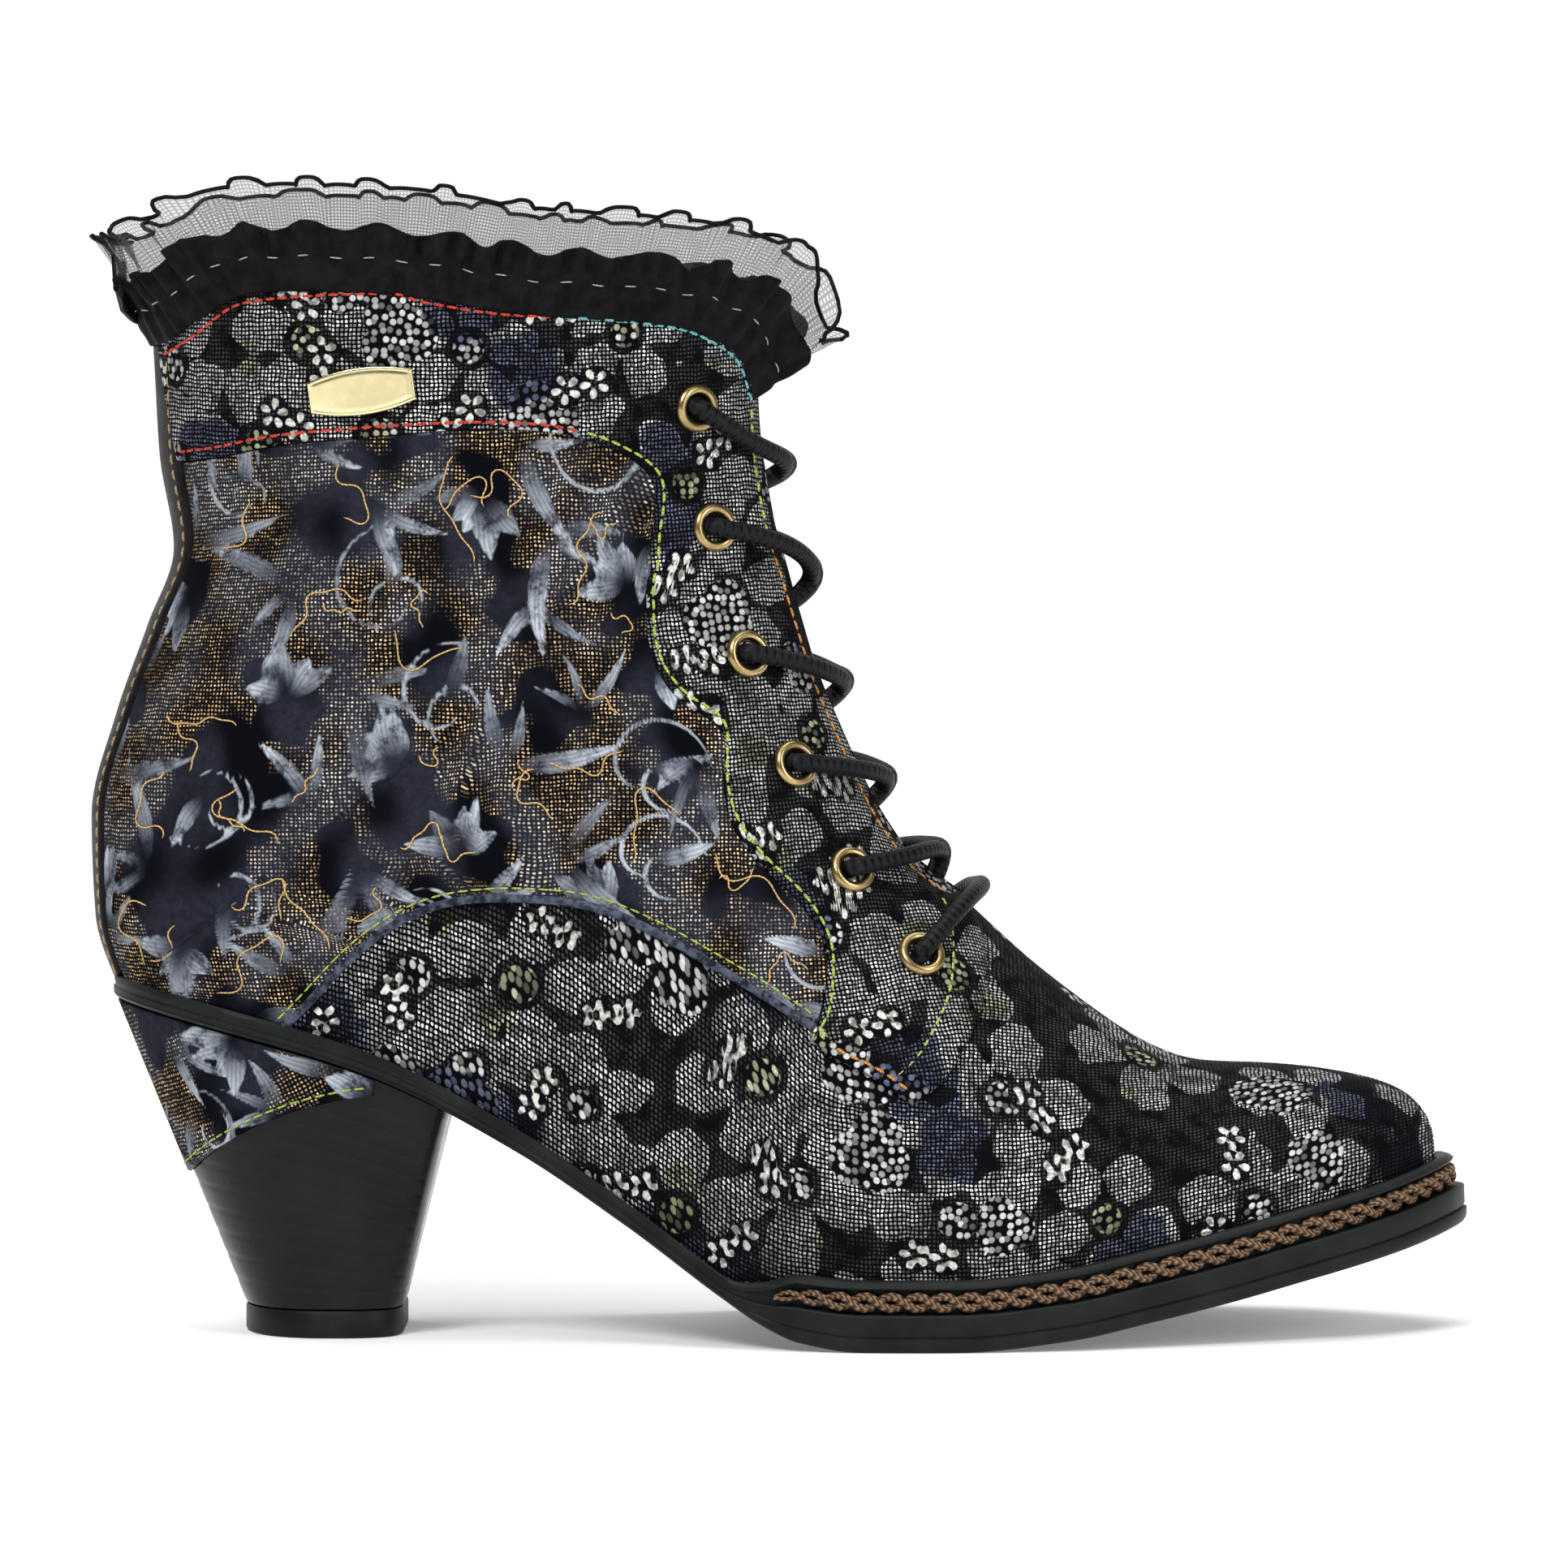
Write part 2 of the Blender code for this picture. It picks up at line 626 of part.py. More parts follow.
def quarter_outline():
    """The side view of the patterned panel above its piped edge."""
    lower = smooth_line(QUARTER_EDGE, 17)
    back = tuple(map(float, section_line(QUARTER_EDGE[0][0], -0.5)))
    return [back] + lower + smooth_line(QUARTER_UNDER, 12)


def backstrip_outline(grow=0.0):
    """The side view of the strip up the back seam."""
    front = [(x + grow, z) for x, z in smooth_line(BACKSTRIP_EDGE, 11)]
    foot = section_line(BACKSTRIP_EDGE[-1][0], -0.4)
    top = section_line(BACKSTRIP_EDGE[0][0], -0.4)
    return front + [tuple(map(float, foot)), tuple(map(float, top))]


def throat_cutters():
    """The slot between the facings and the round end at its foot."""
    rows = np.linspace(THROAT_ROW, TOP_ROW, 12)
    inner = []
    outer = []
    for row in rows:
        part = upper_section(row)
        foot = np.array([part["foot_x"], part["foot_z"]])
        head = np.array([part["head_x"], part["head_z"]])
        way = (head - foot) / np.linalg.norm(head - foot)
        inner.append(tuple(head - 0.9 * TONGUE_DEPTH * way))
        outer.append(tuple(head + 0.9 * TONGUE_DEPTH * way))
    slot = prism("throat_slot", inner + outer[::-1], -THROAT_WIDTH / 2, THROAT_WIDTH / 2)
    centre = Vector(((inner[0][0] + outer[0][0]) / 2, 0, (inner[0][1] + outer[0][1]) / 2))
    way = Vector((outer[0][0] - inner[0][0], 0, outer[0][1] - inner[0][1]))
    shape = bmesh.new()
    radius = THROAT_WIDTH / 2 + GAP
    bmesh.ops.create_cone(shape, cap_ends=True, segments=16, radius1=radius,
                          radius2=radius, depth=1.1 * way.length)
    turn = way.to_track_quat("Z", "Y").to_matrix().to_4x4()
    shape.transform(Matrix.Translation(centre) @ turn)
    mesh = bpy.data.meshes.new("throat_end")
    shape.to_mesh(mesh)
    shape.free()
    return [slot, new_object("throat_end", mesh, TOOLS)]


def eyelet_frame(index, side, lift):
    """Where an eyelet sits over the eyestay, and its turn."""
    row, climb = EYELETS[index]
    place, normal = pattern_point(row, climb, side, lift)
    turn = normal.to_track_quat("Z", "Y").to_matrix().to_4x4()
    return Matrix.Translation(place) @ turn


def eyelet_holes():
    """One cutter with a round pin at each eyelet."""
    shape = bmesh.new()
    for side in (-1, 1):
        for index in range(len(EYELETS)):
            made = bmesh.ops.create_cone(
                shape, cap_ends=True, segments=EYELET_SIDES, radius1=EYELET_BARREL / 2 + GAP,
                radius2=EYELET_BARREL / 2 + GAP, depth=5 * WALL)
            bmesh.ops.transform(shape, matrix=eyelet_frame(index, side, 0.0),
                                verts=made["verts"])
    mesh = bpy.data.meshes.new("eyelet_pins")
    shape.to_mesh(mesh)
    shape.free()
    return new_object("eyelet_pins", mesh, TOOLS)


# Soling


# Stations along the sole: how many from the back to the waist, where the
# edge builds up, the two ends of the flat tread, and how many on to the toe
HEEL_STATIONS = 11
WAIST_STATIONS = (0.450, 0.485, 0.520)
TREAD_STATIONS = (0.555, 0.615)
TOE_STATIONS = 9


def start_steps(count):
    """Shares from 0 to 1 that lie closer together at their start."""
    turn = np.linspace(0, math.pi / 2, count)
    return 0.7 * (1 - np.cos(turn)) + 0.3 * np.linspace(0, 1, count)


def sole_stations():
    """Shares along the sole at which the outsole has a section."""
    heel = WAIST_STATIONS[0] * start_steps(HEEL_STATIONS)[:-1]
    toe = 1 - (1 - TREAD_STATIONS[1]) * start_steps(TOE_STATIONS)[::-1]
    return np.concatenate([heel, WAIST_STATIONS, TREAD_STATIONS[:1], toe])


def ring_points(run, inset, height):
    """One closed ring of the sole: lateral side forwards, medial side back."""
    x, half, centre, z = sole_line(run, inset, height)
    lateral = np.stack([x, centre - half, z], axis=1)
    medial = np.stack([x, centre + half, z], axis=1)[1:-1][::-1]
    return np.concatenate([lateral, medial])


def ring_solid(rings):
    """Points and faces of a solid between rings, closed under and above."""
    count = len(rings[0])
    points = np.concatenate(rings)
    faces = []
    for level in range(len(rings) - 1):
        for index in range(count):
            after = (index + 1) % count
            low = level * count
            high = low + count
            faces.append([low + index, low + after, high + after, high + index])
    half = count // 2
    for base in (0, (len(rings) - 1) * count):
        lateral = [base + index for index in range(half + 1)]
        medial = [base] + [base + count - index for index in range(1, half)] + [base + half]
        faces += ladder(lateral, medial)
    return points, faces


def make_outsole():
    """The strip, the forefoot unit with its recess, and the lip."""
    run = sole_stations()
    edge = edge_height(run)
    recess = recess_depth(run)
    rings = [
        ring_points(run, EDGE_ROUND, np.zeros_like(run)),
        ring_points(run, 0.0, np.full_like(run, EDGE_ROUND)),
        ring_points(run, 0.0, slab_height(run)),
        ring_points(run, recess, slab_height(run) + 0.1 * GAP),
        ring_points(run, recess, lip_start(run)),
        ring_points(run, 0.5 * lip_setback(run), lip_start(run) + 0.1 * GAP),
        ring_points(run, lip_setback(run), edge),
    ]
    points, faces = ring_solid(rings)
    made = new_object("outsole", new_mesh("outsole", points, faces), PARTS,
                      colour=(0.018, 0.018, 0.02), roughness=0.45)
    cut(made, upper_form("well_form", GAP))
    return made


def make_insole():
    """The board that the foot stands on, inside the upper."""
    feet = np.array(GRID_ROWS[:HEEL_LINE + 1])
    run = monotone(ROWS, column(UPPER, UPPER_COLUMNS, "foot"), feet)[::-1]
    inset = feather_margin(run) + WALL + 2 * GAP
    low = floor_height(run) + GAP
    rings = [ring_points(run, inset, low),
             ring_points(run, inset, low + INSOLE_THICKNESS)]
    points, faces = ring_solid(rings)
    return new_object("insole", new_mesh("insole", points, faces), PARTS,
                      colour=(0.32, 0.24, 0.16), roughness=0.8)


def tube(name, points, diameter, **finish):
    """A round tube along points, made from a curve with filled caps."""
    curve = bpy.data.curves.new(name, "CURVE")
    curve.dimensions = "3D"
    curve.bevel_depth = diameter / 2
    curve.bevel_resolution = 2
    curve.use_fill_caps = True
    line = curve.splines.new("POLY")
    line.points.add(len(points) - 1)
    for point, place in zip(line.points, points):
        point.co = (*place, 1.0)
    made = bpy.data.objects.new(name, curve)
    PARTS.objects.link(made)
    if finish:
        curve.materials.append(new_material(name, **finish))
    return made


def make_braid():
    """The waxed cord in the recess, from the waist round the toe and back."""
    waist = np.linspace(0.45, 0.56, 200)
    room = lip_start(waist) - slab_height(waist)
    start = float(np.interp(0.97 * (LIP_START - SLAB_HEIGHT), room, waist))
    run = start + (1 - start) * np.sin(np.linspace(0, math.pi / 2, 14))
    inset = recess_depth(run) - 2 * GAP - BRAID_DIAMETER / 2
    height = (slab_height(run) + lip_start(run)) / 2
    x, half, centre, z = sole_line(run, inset, height)
    lateral = np.stack([x, centre - half, z], axis=1)
    medial = np.stack([x, centre + half, z], axis=1)[::-1][1:]
    return tube("braid", np.concatenate([lateral, medial]), BRAID_DIAMETER,
                colour=(0.20, 0.11, 0.06), roughness=0.6)


# Heel

# One row for each place round half of the heel, from the middle of the
# breast to the middle of the back: run and half give the plan at the floor
# as shares of half the lift's length and width, and top_run and top_half the
# plan under the sole, from its breast (1) to its back (0).
HEEL_COLUMNS = ("run", "half", "top_run", "top_half")
HEEL = (
    (1.00, 0.00, 1.000, 0.00),
    (1.00, 0.45, 1.000, 0.60),
    (0.93, 0.74, 0.985, 0.90),
    (0.72, 0.92, 0.930, 1.00),
    (0.35, 1.00, 0.780, 1.00),
    (0.00, 1.00, 0.600, 1.00),
    (-0.32, 0.94, 0.420, 1.00),
    (-0.58, 0.81, 0.270, 1.00),
    (-0.78, 0.62, 0.150, 1.00),
    (-0.91, 0.40, 0.065, 1.00),
    (-0.98, 0.19, 0.016, 1.00),
    (-1.00, 0.00, 0.000, 1.00),
)
HEEL_LEVELS = (0.0, 0.22, 0.48, 0.72, 0.90, 1.0)
COVER_LOW = 0.42
COVER_FRONT_RUN = 0.80


def heel_line(level, out):
    """Half of the heel's plan at a level, from breast to back.

    The plan goes from the lift's to the sole's as the level goes from 0 to
    1, the width a little later than the length, and out grows it.
    """
    run = column(HEEL, HEEL_COLUMNS, "run")
    half = column(HEEL, HEEL_COLUMNS, "half")
    top_run = column(HEEL, HEEL_COLUMNS, "top_run")
    top_half = column(HEEL, HEEL_COLUMNS, "top_half")
    breast = HEEL_BREAST / SOLE_LENGTH
    share = breast * top_run
    x_top, half_top, centre = outline(share, HEEL_INSET - out)
    half_top = half_top * top_half
    x_low = run * (LIFT_LENGTH / 2 + out)
    half_low = half * (LIFT_WIDTH / 2 + out)
    level = np.broadcast_to(level, x_top.shape)
    x = x_low + (x_top - x_low) * level
    width = half_low + (half_top - half_low) * level**1.3
    floor = LIFT_HEIGHT + GAP
    z = floor + (sole_bottom(x_top) - GAP - floor) * level
    return x, width, z


def both_sides(x, width, z):
    """A closed ring from half of one: lateral side back, medial forwards."""
    lateral = np.stack([x, -width, z], axis=1)
    medial = np.stack([x, width, z], axis=1)[1:-1][::-1]
    return np.concatenate([lateral, medial])


def make_heel():
    """The stacked block under the back of the sole."""
    rings = [both_sides(*heel_line(level, 0.0)) for level in HEEL_LEVELS]
    points, faces = ring_solid(rings)
    return new_object("heel", new_mesh("heel", points, faces), PARTS,
                      colour=(0.012, 0.012, 0.014), roughness=0.22)


def make_top_lift():
    """The flat piece that the heel stands on."""
    x, width, _ = heel_line(0.0, 0.0)
    chamfer = 0.0006
    inner = 1 - chamfer / (LIFT_WIDTH / 2)
    rings = [both_sides(x * inner, width * inner, np.zeros_like(x)),
             both_sides(x, width, np.full_like(x, chamfer)),
             both_sides(x, width, np.full_like(x, LIFT_HEIGHT))]
    points, faces = ring_solid(rings)
    return new_object("top_lift", new_mesh("top_lift", points, faces, smooth=False), PARTS,
                      colour=(0.02, 0.02, 0.022), roughness=0.5)


def make_heel_cover():
    """The cloth over the top of the heel, down to a straight slanted edge."""
    top_run = column(HEEL, HEEL_COLUMNS, "top_run")
    keep = top_run < COVER_FRONT_RUN - 0.01
    low = COVER_LOW + (0.93 - COVER_LOW) * top_run / COVER_FRONT_RUN
    rows = []
    for share in (0.0, 0.35, 0.7, 1.0):
        level = low + (0.995 - low) * share
        x, width, z = heel_line(level, GAP + 0.0001)
        half = np.stack([x, -width, z], axis=1)[keep]
        other = half[:-1][::-1] * (1, -1, 1)
        rows.append(np.concatenate([half, other]))
    count = len(rows[0])
    numbers = np.arange(len(rows) * count).reshape(len(rows), count)
    mesh = bpy.data.meshes.new("heel_cover")
    mesh.from_pydata([tuple(point) for point in np.concatenate(rows)], [],
                     grid_faces(numbers))
    if mesh.vertices[count + 1].normal.y > 0:
        mesh.flip_normals()
    mesh.shade_smooth()
    made = new_object("heel_cover", mesh, PARTS, colour=(0.02, 0.022, 0.03), roughness=0.9)
    wall = made.modifiers.new("wall", "SOLIDIFY")
    wall.thickness = COVER_THICKNESS
    wall.offset = 1.0
    return made


# Upper, overlays and tongue


def make_upper(keep, throat, pins):
    """The hollow wall, cut at the collar, the throat and the eyelets."""
    made = upper_sheet("upper", -WALL, WALL, PARTS, colour=(0.03, 0.03, 0.035), roughness=0.7)
    cut(made, keep, "INTERSECT")
    for cutter in throat:
        cut(made, cutter)
    cut(made, pins)
    return made


def sole_room():
    """The side view of all that lies under the top edge of the sole."""
    x = X_BACK + SOLE_LENGTH * np.linspace(0, 0.6, 20)
    z = sole_bottom(x) + edge_height((x - X_BACK) / SOLE_LENGTH) + GAP
    far = SOLE_LENGTH
    line = [tuple(map(float, point)) for point in zip(x, z)]
    return [(-far, line[0][1])] + line + [(line[-1][0], -far), (-far, -far)]


def make_panels(keep, pins):
    """The eyestays, quarters and back strip, cut from shells of the form."""
    far = BALL_WIDTH
    stay = eyestay_outline()
    stay_grown = eyestay_outline(SEAM_GAP)
    quarter = quarter_outline()
    strip = backstrip_outline()
    strip_grown = prism("backstrip_grown", backstrip_outline(SEAM_GAP), -far, far)
    below = prism("sole_room", sole_room(), -far, far)
    for side, word in ((-1, "lateral"), (1, "medial")):
        low, high = sorted((side * THROAT_WIDTH / 2, side * far))
        made = upper_sheet(f"eyestay_{word}", GAP, EYESTAY_THICKNESS, PARTS,
                           colour=(0.05, 0.05, 0.055), roughness=0.5)
        cut(made, prism(f"eyestay_keep_{word}", stay, low, high), "INTERSECT")
        cut(made, keep, "INTERSECT")
        cut(made, strip_grown)
        cut(made, pins)
        made = upper_sheet(f"quarter_{word}", GAP, QUARTER_THICKNESS, PARTS,
                           colour=(0.02, 0.022, 0.035), roughness=0.9)
        cut(made, prism(f"quarter_keep_{word}", quarter, low, high), "INTERSECT")
        cut(made, prism(f"eyestay_room_{word}", stay_grown, -far, far))
        cut(made, strip_grown)
        cut(made, below)
    made = upper_sheet("backstrip", GAP, BACKSTRIP_THICKNESS, PARTS,
                       colour=(0.015, 0.015, 0.016), roughness=0.4)
    cut(made, prism("backstrip_keep", strip, -far, far), "INTERSECT")
    cut(made, keep, "INTERSECT")
    cut(made, below)


def make_tongue():
    """The tongue inside the front of the upper."""
    made = upper_sheet("tongue", -WALL - GAP - TONGUE_THICKNESS, TONGUE_THICKNESS, PARTS,
                       colour=(0.03, 0.03, 0.032), roughness=0.8)
    inner = []
    outer = []
    for row in np.linspace(THROAT_ROW - 0.7, TOP_ROW - 2.6, 12):
        part = upper_section(row)
        foot = np.array([part["foot_x"], part["foot_z"]])
        head = np.array([part["head_x"], part["head_z"]])
        way = (head - foot) / np.linalg.norm(head - foot)
        inner.append(tuple(head - TONGUE_DEPTH * way))
        outer.append(tuple(head + TONGUE_DEPTH * way))
    cut(made, prism("tongue_keep", inner + outer[::-1], -BALL_WIDTH, BALL_WIDTH),
        "INTERSECT")
    return made


# Eyelets and lace


def make_eyelets():
    """Twelve turned eyelets, each with a flange and a barrel."""
    hole = EYELET_HOLE / 2
    barrel = EYELET_BARREL / 2
    depth = GAP + EYESTAY_THICKNESS + WALL
    profile = ((barrel, -depth), (hole, -depth), (hole, EYELET_HEIGHT),
               (EYELET_WIDTH / 2, 0.4 * EYELET_HEIGHT), (barrel, 0.0))
    steps = EYELET_SIDES
    turns = np.arange(steps) * 2 * math.pi / steps
    points = [(radius * math.cos(turn), radius * math.sin(turn), z)
              for radius, z in profile for turn in turns]
    faces = []
    for level in range(len(profile)):
        for index in range(steps):
            after = (index + 1) % steps
            low = level * steps
            high = (level + 1) % len(profile) * steps
            faces.append([low + index, low + after, high + after, high + index])
    lift = GAP + EYESTAY_THICKNESS + GAP
    for side, word in ((-1, "lateral"), (1, "medial")):
        for index in range(len(EYELETS)):
            name = f"eyelet_{word}_{index}"
            made = new_object(name, new_mesh(name, points, faces), PARTS,
                              colour=(0.30, 0.21, 0.10), roughness=0.35, metallic=1.0)
            made.matrix_world = eyelet_frame(index, side, lift)


def lace_lift():
    """Height of the lace's middle over the upper's face."""
    return EYESTAY_THICKNESS + 4 * GAP + LACE_DIAMETER / 2


def strand(start, end, bow=0.0, over=0.0):
    """Points over the throat between two eyelets, one on each side."""
    places = []
    for row, climb, side in (start, end):
        part = upper_section(row)
        tau = np.linspace(0, 1, 600)
        climbs, halves = upper_half(part, tau, side)
        places.append((row, side * float(np.interp(climb, climbs, halves))))
    (row_a, y_a), (row_b, y_b) = places
    first, _ = pattern_point(start[0], start[1], start[2])
    second, _ = pattern_point(end[0], end[1], end[2])
    clear = (EYELET_WIDTH / 2 + 2 * GAP) / (first - second).length * 0.92
    points = []
    for share in np.linspace(clear, 1 - clear, 5):
        row = row_a + (row_b - row_a) * share + bow * math.sin(math.pi * share)
        y = y_a + (y_b - y_a) * share
        points.append(front_point(row, y, lace_lift() + over * math.sin(math.pi * share)))
    return points


def make_lace():
    """The five crossings over the throat and the bar at its foot."""
    finish = {"colour": (0.01, 0.01, 0.011), "roughness": 0.5}
    for index in range(len(EYELETS) - 1):
        upper_place = EYELETS[index]
        lower_place = EYELETS[index + 1]
        made = []
        for side in (-1, 1):
            name = f"lace_half_{index}_{side}"
            over = 0.2 * LACE_DIAMETER if side > 0 else 0.0
            line = tube(name, strand((*upper_place, side), (*lower_place, -side), 0.0, over),
                        LACE_DIAMETER)
            mesh = harden(line)
            bpy.data.objects.remove(line, do_unlink=True)
            made.append(mesh)
        name = f"lace_cross_{index}"
        cross = new_object(name, made[0], PARTS, **finish)
        cross.data.name = name
        cut(cross, new_object(f"lace_other_{index}", made[1], TOOLS), "UNION")
    low = EYELETS[-1]
    tube("lace_bar", strand((*low, -1), (*low, 1), BAR_ROW - low[0]), LACE_DIAMETER, **finish)


# Badge and frills


def make_badge():
    """The bare barrel-shaped plate on the cuff."""
    row, climb = BADGE_PLACE
    lift = 2 * GAP + EYESTAY_THICKNESS
    made = upper_sheet("badge", lift, BADGE_THICKNESS, PARTS, colour=(0.75, 0.62, 0.38),
                       roughness=0.25, metallic=1.0)
    x, z = section_line(row, climb)
    outline_xz = []
    for end in (1, -1):
        for share in np.linspace(-1, 1, 7):
            along = -end * share * BADGE_LENGTH / 2
            across = end * BADGE_WIDTH / 2 * (1 - 0.36 * share**2)
            outline_xz.append((x + along * math.cos(BADGE_TURN) - across * math.sin(BADGE_TURN),
                               z + along * math.sin(BADGE_TURN) + across * math.cos(BADGE_TURN)))
    cut(made, prism("badge_keep", [tuple(map(float, point)) for point in outline_xz],
                    -BALL_WIDTH, 0.0), "INTERSECT")
    return made


def collar_line(count):
    """Points, outward and upward ways along the collar, side to side.

    It starts at the lateral front corner, goes round the back and ends at
    the medial front corner. Up is square to the edge, in the upper's face.
    """
    climbs = np.array([point[1] for point in COLLAR])
    rows = np.array([point[0] for point in COLLAR])
    half_tau = np.linspace(FRILL_END, 0.0, count)
    taus = np.concatenate([half_tau, half_tau[::-1][1:]])
    sides = np.concatenate([-np.ones(count), np.ones(count - 1)])
    places = []
    normals = []
    for tau, side in zip(taus, sides):
        row = 24.0
        for _ in range(12):
            climb, _ = upper_half(upper_section(row), tau, side)
            row = float(np.interp(climb, climbs, rows))
        places.append(upper_point(row, tau, side))
        normals.append(upper_normal(row, tau, side))
    places = np.array(places)
    normals = np.array(normals)
    along = np.gradient(places, axis=0)
    along /= np.linalg.norm(along, axis=1, keepdims=True)
    up = np.cross(along, normals)
    up *= np.sign(up[count - 1][2])
    up /= np.linalg.norm(up, axis=1, keepdims=True)
    return places, normals, up


def frill(name, start, width, wave, waves, **finish):
    """A gathered strip that stands up and outwards from the collar line."""
    places, normals, up = collar_line(FRILL_STEPS)
    step = np.linalg.norm(np.diff(places, axis=0), axis=1)
    path = np.concatenate([[0], np.cumsum(step)])
    phase = 2 * math.pi * waves * path / path[-1]
    rows = []
    for share in (0.0, 0.5, 1.0):
        height = start + width * share
        out = FRILL_FLARE * height + wave * share * np.sin(phase)
        rows.append(places + up * height * math.cos(FRILL_FLARE / 2) + normals * out[:, None])
    numbers = np.arange(3 * len(places)).reshape(3, len(places))
    mesh = bpy.data.meshes.new(name)
    mesh.from_pydata([tuple(point) for point in np.concatenate(rows)], [],
                     grid_faces(numbers))
    mesh.shade_smooth()
    made = new_object(name, mesh, PARTS, **finish)
    wall = made.modifiers.new("wall", "SOLIDIFY")
    wall.thickness = FRILL_THICKNESS
    wall.offset = 0.0
    return made


def make_frills():
    """The gathered band on the collar and the sheer frill above it."""
    start = FRILL_THICKNESS
    frill("frill_band", start, BAND_WIDTH - start, 0.0006, FRILL_WAVES,
          colour=(0.012, 0.012, 0.013), roughness=0.8)
    frill("frill_organza", BAND_WIDTH + FRILL_THICKNESS, ORGANZA_WIDTH, 0.0014,
          FRILL_WAVES, colour=(0.05, 0.05, 0.055), roughness=0.4)


def main():
    """Build the boot."""
    keep = prism("collar_keep", collar_keep(), -BALL_WIDTH, BALL_WIDTH)
    throat = throat_cutters()
    pins = eyelet_holes()
    make_upper(keep, throat, pins)
    make_panels(keep, pins)
    make_tongue()
    make_outsole()
    make_insole()
    make_braid()
    make_heel()
    make_heel_cover()
    make_top_lift()
    make_eyelets()
    make_lace()
    make_badge()
    make_frills()


main()
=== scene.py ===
"""The victorian boot dressed for its picture.

Metres, +Z up, toe towards +X, lateral side towards -Y. Every soft surface is
worked out on the same fan of sections as the solids: a place is (row, tau),
the section's number from the toe and the way round it from its foot (0) to
its crest (1). Pieces are grids of such places, moved out along the normal.
"""
import math

import bmesh
import bpy
import numpy as np
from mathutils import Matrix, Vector
from mathutils.bvhtree import BVHTree


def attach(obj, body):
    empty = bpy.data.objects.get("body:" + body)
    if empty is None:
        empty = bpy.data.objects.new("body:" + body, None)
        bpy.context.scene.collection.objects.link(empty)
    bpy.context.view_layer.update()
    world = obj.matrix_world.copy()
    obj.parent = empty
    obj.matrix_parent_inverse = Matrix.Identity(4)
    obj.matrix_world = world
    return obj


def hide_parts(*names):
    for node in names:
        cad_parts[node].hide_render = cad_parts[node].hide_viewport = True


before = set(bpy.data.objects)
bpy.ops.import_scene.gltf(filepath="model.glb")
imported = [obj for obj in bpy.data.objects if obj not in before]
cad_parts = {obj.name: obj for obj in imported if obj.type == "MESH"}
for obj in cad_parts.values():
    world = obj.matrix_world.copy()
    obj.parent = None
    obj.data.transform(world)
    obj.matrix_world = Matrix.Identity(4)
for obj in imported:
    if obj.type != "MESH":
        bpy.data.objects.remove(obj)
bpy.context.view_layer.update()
MM = 0.001

# Camera: at the photo's height and distance, square to the lateral side
CAMERA_PLACE = (0.0835, -1.600, 0.165)
CAMERA_AIM = (0.0835, 0.0, 0.0993)
CAMERA_LENS = 202.0


def make_camera():
    """Place the camera and aim it at the middle of the boot."""
    data = bpy.data.cameras.new("camera")
    data.lens = CAMERA_LENS
    data.sensor_width = 36.0
    data.clip_end = 20.0
    made = bpy.data.objects.new("camera", data)
    bpy.context.scene.collection.objects.link(made)
    made.location = CAMERA_PLACE
    way = Vector(CAMERA_AIM) - Vector(CAMERA_PLACE)
    made.rotation_euler = way.to_track_quat("-Z", "Y").to_euler()
    bpy.context.scene.camera = made


make_camera()

# Driving sizes in metres
SOLE_LENGTH = 0.247
BALL_WIDTH = 0.089
HEEL_SETBACK = 0.0386
HEEL_HEIGHT = 0.061
TOE_SPRING = 0.0196
UPPER_HEIGHT = 0.127
WALL = 0.0020
GAP = 0.0003

# Sole edge, from the plain strip at the waist to the built-up forefoot
STRIP_HEIGHT = 0.0043
FOXING_HEIGHT = 0.0128
SLAB_HEIGHT = 0.0067
LIP_START = 0.0112
RECESS_DEPTH = 0.0030
LIP_SETBACK = 0.0018
EDGE_ROUND = 0.0012
FEATHER_MARGIN = 0.0049
STRIP_MARGIN = 0.0022
FLOOR_HEIGHT = 0.0050
STRIP_GROOVE = 0.0003
TOE_LEAN = 0.5
HEEL_ROUND = 0.12
TOE_ROUND = 0.12
BRAID_DIAMETER = 0.0034
INSOLE_THICKNESS = 0.0020

# Heel block and top lift
LIFT_HEIGHT = 0.0050
LIFT_LENGTH = 0.0292
LIFT_WIDTH = 0.0390
HEEL_BREAST = 0.0610
HEEL_INSET = 0.0017
COVER_THICKNESS = 0.0008

# Overlays, throat and tongue
EYESTAY_THICKNESS = 0.0011
QUARTER_THICKNESS = 0.0006
BACKSTRIP_THICKNESS = 0.0009
THROAT_WIDTH = 0.0130
TONGUE_THICKNESS = 0.0016

# Eyelets, lace, badge and frills
EYELET_WIDTH = 0.0088
EYELET_HOLE = 0.0048
LACE_DIAMETER = 0.0033
BADGE_LENGTH = 0.0192
BADGE_WIDTH = 0.0085
BADGE_THICKNESS = 0.0008
BAND_WIDTH = 0.0110
ORGANZA_WIDTH = 0.0078
FRILL_FLARE = 0.42
FRILL_END = 0.92

# Points along the long cords, and the loops of the plaited one
COLLAR_STEPS = 900
LACE_STEPS = 900
CORD_STEPS = 1100
CORD_START = 0.487
CORD_LOOP = 0.0094
STRAND_RADIUS = 0.00078

X_BACK = -HEEL_SETBACK
SIDES = ((-1, "lateral"), (1, "medial"))

# What the seeded layouts cover in the side view, in millimetres, and the
# rounded full turn that they draw their turns from
LAYOUT = ((-48, 4), (214, 204))
FULL_TURN = 6.28

